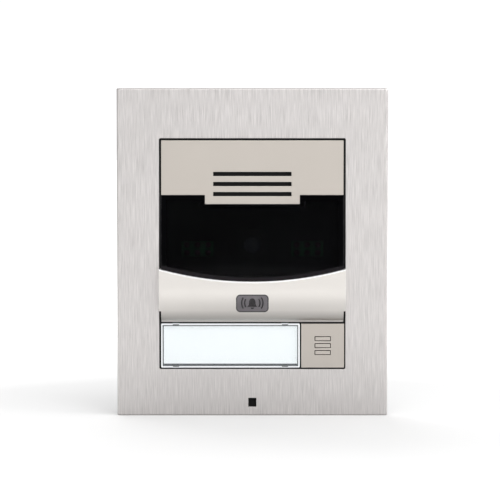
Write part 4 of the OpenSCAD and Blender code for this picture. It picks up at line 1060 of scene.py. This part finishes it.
def tag_cover_body(sizes):
    """The clear cover: rings from its flat face over the bevel and the rim into the pocket for the card,
    and four hooks behind it."""
    low, high = corners("name_tag_cover")
    (centre_x, _, centre_z), (half_w, _, half_h) = middle("name_tag_cover")
    card_centre, card_half = middle("name_tag_card")
    bevel, bevel_depth, cover_wall, side_wall = sizes.tag_bevel, 0.55 * MM, 1.2 * MM, 1.0 * MM
    outer_r, inner_r, card_gap = 0.5 * MM, 0.1 * MM, 0.2 * MM
    rim_end = corners("front_housing")[0][1] - FIT / 2
    pocket = (half_w - side_wall, card_half[2] + card_gap, inner_r, card_centre[2])
    rings = [
        (half_w - bevel, half_h - bevel, outer_r, centre_z, low[1]),
        (half_w, half_h, outer_r, centre_z, low[1] + bevel_depth),
        (half_w, half_h, outer_r, centre_z, rim_end),
        (*pocket, rim_end),
        (*pocket, low[1] + cover_wall),
    ]
    x, y, z = ring_points(rings)
    hook_root, hook_h = rim_end - 0.4 * MM, 0.8 * MM
    hooks = [
        block((hx - sizes.hook_w / 2, hook_root, hz), (hx + sizes.hook_w / 2, high[1], hz + hook_h))
        for hx in (low[0] + sizes.hook_inset, high[0] - sizes.hook_inset)
        for hz in (low[2], high[2] - hook_h)
    ]
    return joined(ring_body(x + centre_x, y, z), *hooks)


def button_cap_body(sizes):
    """The call button: a lattice of blocks with a hollow back, three raised dashes and a fine groove
    round each of them."""
    low, high = corners("button_cap")
    wall, cap, groove_depth = 1.0 * MM, 1.5 * MM, 0.35 * MM
    centre_x, _, centre_z = middle("button_cap")[0]
    dash_z = centre_z + np.array([-1, 0, 1]) * sizes.dash_pitch
    half_w, half_h, groove = sizes.dash_w / 2, sizes.dash_h / 2, sizes.groove
    xs = centre_x + np.array([-half_w - groove, -half_w, half_w, half_w + groove])
    xs = np.concatenate([[low[0], low[0] + wall], xs, [high[0] - wall, high[0]]])
    dash_edges = dash_z[:, None] + np.array([-half_h - groove, -half_h, half_h, half_h + groove])
    zs = np.concatenate([[low[2], low[2] + wall, high[2] - wall, high[2]], dash_edges.ravel()])
    zs = np.unique(zs)
    front = low[1] + sizes.dash_rise
    ys = np.array([low[1], front, front + groove_depth, front + cap, high[1]])
    x, z = np.meshgrid((xs[1:] + xs[:-1]) / 2, (zs[1:] + zs[:-1]) / 2, indexing="ij")

    def near_dash(margin):
        """True within margin of one of the dashes."""
        level = (abs(z[..., None] - dash_z) < half_h + margin).any(-1)
        return level & (abs(x - centre_x) < half_w + margin)

    dash = near_dash(0)
    hollow = (x > low[0] + wall) & (x < high[0] - wall) & (z > low[2] + wall) & (z < high[2] - wall)
    whole = np.ones_like(dash)
    filled = np.stack([dash, ~near_dash(groove) | dash, whole, ~hollow], 1)
    return blocks([xs, ys, zs], filled)


def spring_body(sizes):
    """The button spring: a wire along a helix whose depth grows evenly with the angle."""
    low, high = corners("button_spring")
    (centre_x, _, centre_z), half = middle("button_spring")
    radius = half[0] - sizes.wire
    steps_a_turn = 36
    share = np.linspace(0, 1, steps_a_turn * sizes.turns + 1)
    angle = 2 * math.pi * sizes.turns * share
    seat = sizes.wire * 1.05
    start, end = low[1] + seat, high[1] - seat
    depth = start + (end - start) * share
    path = np.stack([centre_x + radius * np.cos(angle), depth, centre_z + radius * np.sin(angle)], -1)
    return tube(path, sizes.wire, (0, 1, 0))


def lead_body():
    """The microphone's lead, along its clipped route from the boot through the housing's lower wall,
    with the moulded grommet that fills the notch in the housing's flange."""
    wire_r = middle("microphone_lead")[1][0] * 0.98
    route = np.array(
        [
            [0, -1.6, -68.7], [0, -1.6, -61.3], [0, -1.5, -59.2], [0, -1.0, -56.2], [0, -0.2, -55.4],
            [0, 2.2, -55.3], [0, 3.9, -55.2], [0, 5.0, -54.4], [0, 5.2, -52.9], [0, 5.2, -49.8],
        ]
    )
    wire = tube(smooth_path(route * MM, 64), wire_r, (1, 0, 0))
    grommet_low, grommet_high = np.array([[-1.36, -1.9, -56.2], [1.36, -0.75, -54.35]]) * MM
    return joined(wire, block(grommet_low, grommet_high))


# ---------------------------------------------------------------- operators


class IntercomOperator:
    """What the operators share"""

    bl_options = {"REGISTER", "UNDO"}

    @staticmethod
    def sizes():
        """The scene's sizes."""
        return bpy.context.scene.intercom_sizes


class INTERCOM_OT_cover_frame(IntercomOperator, bpy.types.Operator):
    """Make the brushed cover frame with its microphone port"""

    bl_idname = "intercom.cover_frame"
    bl_label = "Cover frame"

    def execute(self, context):
        sizes = self.sizes()
        piece = add_piece(
            "cover_frame_shell", frame_body(sizes), "brushed_frame", stands_for=["cover_frame"]
        )
        round_edges(piece, 0.12 * MM)
        return {"FINISHED"}


class INTERCOM_OT_speaker_panel(IntercomOperator, bpy.types.Operator):
    """Make the speaker panel with its sound slots"""

    bl_idname = "intercom.speaker_panel"
    bl_label = "Speaker panel"

    def execute(self, context):
        sizes = self.sizes()
        piece = add_piece(
            "speaker_panel_sheet", speaker_panel_body(sizes), "satin_panel", stands_for=["speaker_panel"]
        )
        round_edges(piece, sizes.edge_round)
        return {"FINISHED"}


class INTERCOM_OT_camera_window(IntercomOperator, bpy.types.Operator):
    """Make the black camera window"""

    bl_idname = "intercom.camera_window"
    bl_label = "Camera window"

    def execute(self, context):
        sizes = self.sizes()
        piece = add_piece(
            "camera_window_shell", camera_window_body(sizes), "window_black", stands_for=["camera_window"]
        )
        round_edges(thicken(piece, sizes.window_wall), 0.35 * MM, segments=3)
        return {"FINISHED"}


class INTERCOM_OT_chin(IntercomOperator, bpy.types.Operator):
    """Make the satin chin with its cheeks and lip"""

    bl_idname = "intercom.chin"
    bl_label = "Chin"

    def execute(self, context):
        sizes = self.sizes()
        piece = add_piece("chin_shell", chin_body(sizes), "nickel_chin", stands_for=["chin_cover"])
        round_edges(thicken(piece, sizes.chin_wall), 0.6 * MM, segments=4)
        lip = add_piece("chin_lip", chin_lip_body(sizes), "nickel_chin")
        round_edges(lip, 0.1 * MM)
        return {"FINISHED"}


class INTERCOM_OT_badge(IntercomOperator, bpy.types.Operator):
    """Make the badge and its plain bell"""

    bl_idname = "intercom.badge"
    bl_label = "Badge"

    def execute(self, context):
        sizes = self.sizes()
        plate = add_piece("badge_plate", badge_body(sizes), "dark_badge", stands_for=["badge"])
        round_edges(plate, 0.1 * MM)
        bell = add_piece("badge_bell", bell_body(sizes), "dark_badge")
        bell.data.materials[0] = glossy_plastic("finish_badge_ink", (0.012, 0.01, 0.012), rough=0.3)
        return {"FINISHED"}


class INTERCOM_OT_name_tag(IntercomOperator, bpy.types.Operator):
    """Make the clear name tag cover"""

    bl_idname = "intercom.name_tag"
    bl_label = "Name tag"

    def execute(self, context):
        sizes = self.sizes()
        piece = add_piece(
            "name_tag_cover_shell",
            tag_cover_body(sizes),
            "tag_clear",
            body="name_tag_cover",
            stands_for=["name_tag_cover"],
        )
        round_edges(piece, 0.08 * MM)
        return {"FINISHED"}


class INTERCOM_OT_call_button(IntercomOperator, bpy.types.Operator):
    """Make the call button and its spring"""

    bl_idname = "intercom.call_button"
    bl_label = "Call button"

    def execute(self, context):
        sizes = self.sizes()
        cap = add_piece(
            "button_cap_shell",
            button_cap_body(sizes),
            "satin_panel",
            body="call_button",
            stands_for=["button_cap"],
        )
        colours = context.scene.intercom_colours
        cap.data.materials[0] = button_metal("finish_button_metal", list(colours.panel_metal))
        round_edges(cap, 0.11 * MM)
        spring = add_piece(
            "button_spring_coil", spring_body(sizes), "spring_steel", stands_for=["button_spring"]
        )
        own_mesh(spring)
        return {"FINISHED"}


class INTERCOM_OT_microphone_lead(IntercomOperator, bpy.types.Operator):
    """Make the microphone's lead as one smooth wire"""

    bl_idname = "intercom.microphone_lead"
    bl_label = "Microphone lead"

    def execute(self, context):
        add_piece("microphone_lead_wire", lead_body(), "lead_black", stands_for=["microphone_lead"])
        return {"FINISHED"}


class INTERCOM_OT_fittings(IntercomOperator, bpy.types.Operator):
    """Give every other piece of the frame its finish, and round the edges of the listed fittings"""

    bl_idname = "intercom.fittings"
    bl_label = "Housings, fittings and electronics"

    # Edge radius of each fitting whose edges are rounded, in millimetres
    rounded = {
        "front_housing": 0.25, "rear_housing": 0.4, "mounting_chassis": 0.2, "frame_clips": 0.08,
        "ethernet_jack": 0.2, "terminal_block": 0.2, "processor_shield": 0.1, "relay": 0.3,
        "ethernet_transformer": 0.3, "microphone_boot": 0.2, "main_board": 0.08, "backlight_header": 0.1,
        "microphone_connector": 0.15, "switch_body": 0.15, "frame_seal": 0.15, "light_guide": 0.1,
    }

    def execute(self, context):
        for node, piece in frame["nodes"].items():
            slot = SLOT_OF[node]
            piece.data.materials.clear()
            piece.data.materials.append(finish(slot))
            if node in self.rounded:
                round_edges(weld(piece), self.rounded[node] * MM)
        return {"FINISHED"}


class INTERCOM_OT_stage(IntercomOperator, bpy.types.Operator):
    """Set up the pale floor, the soft light and the camera"""

    bl_idname = "intercom.stage"
    bl_label = "Stage"

    def execute(self, context):
        add_floor()
        add_world()
        add_softbox("key_softbox", place=(0.15, -0.85, 0.68), size=(0.9, 0.6), power=5.0)
        add_softbox("side_softbox", place=(0.7, -0.35, 0.25), size=(0.3, 0.9), power=1.8)
        add_softbox("back_softbox", place=(-0.3, 0.75, 0.7), size=(0.8, 0.6), power=4.0)
        add_camera()
        return {"FINISHED"}


def add_floor():
    """A wide pale floor at the height of the cover frame's lower edge. It fades to white away from the
    panel, and what the metal mirrors of it has a painted shadow close to the panel, dimmer than far off."""
    half, z = 6.0, float(corners("cover_frame")[0][2])
    outline = [(-half, -half, z), (half, -half, z), (half, half, z), (-half, half, z)]
    mesh = bpy.data.meshes.new("floor")
    mesh.from_pydata(outline, [], [(0, 1, 2, 3)])
    floor = bpy.data.objects.new("floor", mesh)
    bpy.context.scene.collection.objects.link(floor)
    made, tree, shader = start_material("pale_floor")
    away = vector_math(tree, "DISTANCE", own_place(tree), (0, 0, z), "Value")
    seen = add_node(tree, "ShaderNodeLightPath").outputs["Is Camera Ray"]
    far = spread(tree, away, 0.0, 1.0, 0.16, 0.5)
    # Painted shadow round the panel's foot, seen only in reflections
    mirrored_with_shadow = spread(tree, away, 0.66, 1.0, 0.05, 0.3)
    values = {
        "Base Color": mix_values(tree, seen, mirrored_with_shadow, 0.79),
        "Emission Color": value_math(tree, "MULTIPLY", far, seen),
        "Emission Strength": 0.7,
        "Roughness": 0.9,
        "Specular IOR Level": 0.1,
    }
    set_inputs(tree, shader, values)
    mesh.materials.append(made)


def add_world():
    """Even studio light: white to the eye, and for the surfaces brighter above and on the right."""
    world = bpy.data.worlds.new("studio")
    bpy.context.scene.world = world
    world.use_nodes = True
    tree = world.node_tree
    tree.nodes.clear()
    direction = add_node(tree, "ShaderNodeTexCoord").outputs["Generated"]
    parts = add_node(tree, "ShaderNodeSeparateXYZ", {0: direction}).outputs
    height = spread(tree, parts["Z"], 0.44, 0.94, -0.35, 0.5)
    aside = spread(tree, parts["X"], 0.68, 1.14, -0.2, 0.2)
    seen = add_node(tree, "ShaderNodeLightPath").outputs["Is Camera Ray"]
    strength = mix_values(tree, seen, value_math(tree, "MULTIPLY", height, aside), 1.05)
    background = add_node(tree, "ShaderNodeBackground", {"Color": (1, 1, 1, 1), "Strength": strength})
    out = tree.nodes.new("ShaderNodeOutputWorld")
    tree.links.new(background.outputs[0], out.inputs["Surface"])


def add_softbox(name, place, size, power):
    """A rectangular soft light that faces the panel."""
    light = bpy.data.lights.new(name, "AREA")
    light.shape = "RECTANGLE"
    light.size, light.size_y = size
    light.energy = power
    made = bpy.data.objects.new(name, light)
    made.location = place
    made.rotation_euler = (-Vector(place)).to_track_quat("-Z", "Y").to_euler()
    bpy.context.scene.collection.objects.link(made)


def add_camera():
    """A long lens, nearly level, in front of the panel."""
    data = bpy.data.cameras.new("camera")
    data.lens = 180
    data.sensor_width = 36
    distance, elevation = 1.187, math.radians(3.2)
    aim = Vector((-0.0011, 0, 0.0008))
    back = Vector((0, -math.cos(elevation), math.sin(elevation)))
    camera = bpy.data.objects.new("camera", data)
    camera.location = aim + back * distance
    camera.rotation_euler = (-back).to_track_quat("-Z", "Y").to_euler()
    bpy.context.scene.collection.objects.link(camera)
    bpy.context.scene.camera = camera


# ---------------------------------------------------------------- panel and registration


OPERATORS = (
    INTERCOM_OT_fittings,
    INTERCOM_OT_cover_frame,
    INTERCOM_OT_speaker_panel,
    INTERCOM_OT_camera_window,
    INTERCOM_OT_chin,
    INTERCOM_OT_badge,
    INTERCOM_OT_name_tag,
    INTERCOM_OT_call_button,
    INTERCOM_OT_microphone_lead,
    INTERCOM_OT_stage,
)


class INTERCOM_PT_panel(bpy.types.Panel):
    """Lists the pieces, sizes and colours of the intercom panel"""

    bl_idname = "INTERCOM_PT_panel"
    bl_label = "Door intercom"
    bl_space_type = "VIEW_3D"
    bl_region_type = "UI"
    bl_category = "Intercom"

    def draw(self, context):
        for operator in OPERATORS:
            self.layout.operator(operator.bl_idname)
        for group in (context.scene.intercom_sizes, context.scene.intercom_colours):
            for name in group.__annotations__:
                self.layout.prop(group, name)


CLASSES = (IntercomSizes, IntercomColours, *OPERATORS, INTERCOM_PT_panel)


def register():
    """Registers the classes and gives the scene its sizes and colours."""
    for one in CLASSES:
        bpy.utils.register_class(one)
    bpy.types.Scene.intercom_sizes = PointerProperty(type=IntercomSizes)
    bpy.types.Scene.intercom_colours = PointerProperty(type=IntercomColours)


def unregister():
    """Takes the classes and the scene's properties away again."""
    del bpy.types.Scene.intercom_sizes
    del bpy.types.Scene.intercom_colours
    for one in reversed(CLASSES):
        bpy.utils.unregister_class(one)


def main():
    """Makes every piece and the stage in order."""
    register()
    # Blender's own start-up objects, where the file that this runs in still has them
    for name in ("Camera", "Light", "Cube"):
        if name in bpy.data.objects:
            bpy.data.objects.remove(bpy.data.objects[name])
    bpy.context.scene.view_settings.view_transform = "Standard"
    for operator in OPERATORS:
        family, name = operator.bl_idname.split(".")
        getattr(getattr(bpy.ops, family), name)()


if __name__ == "__main__":
    main()
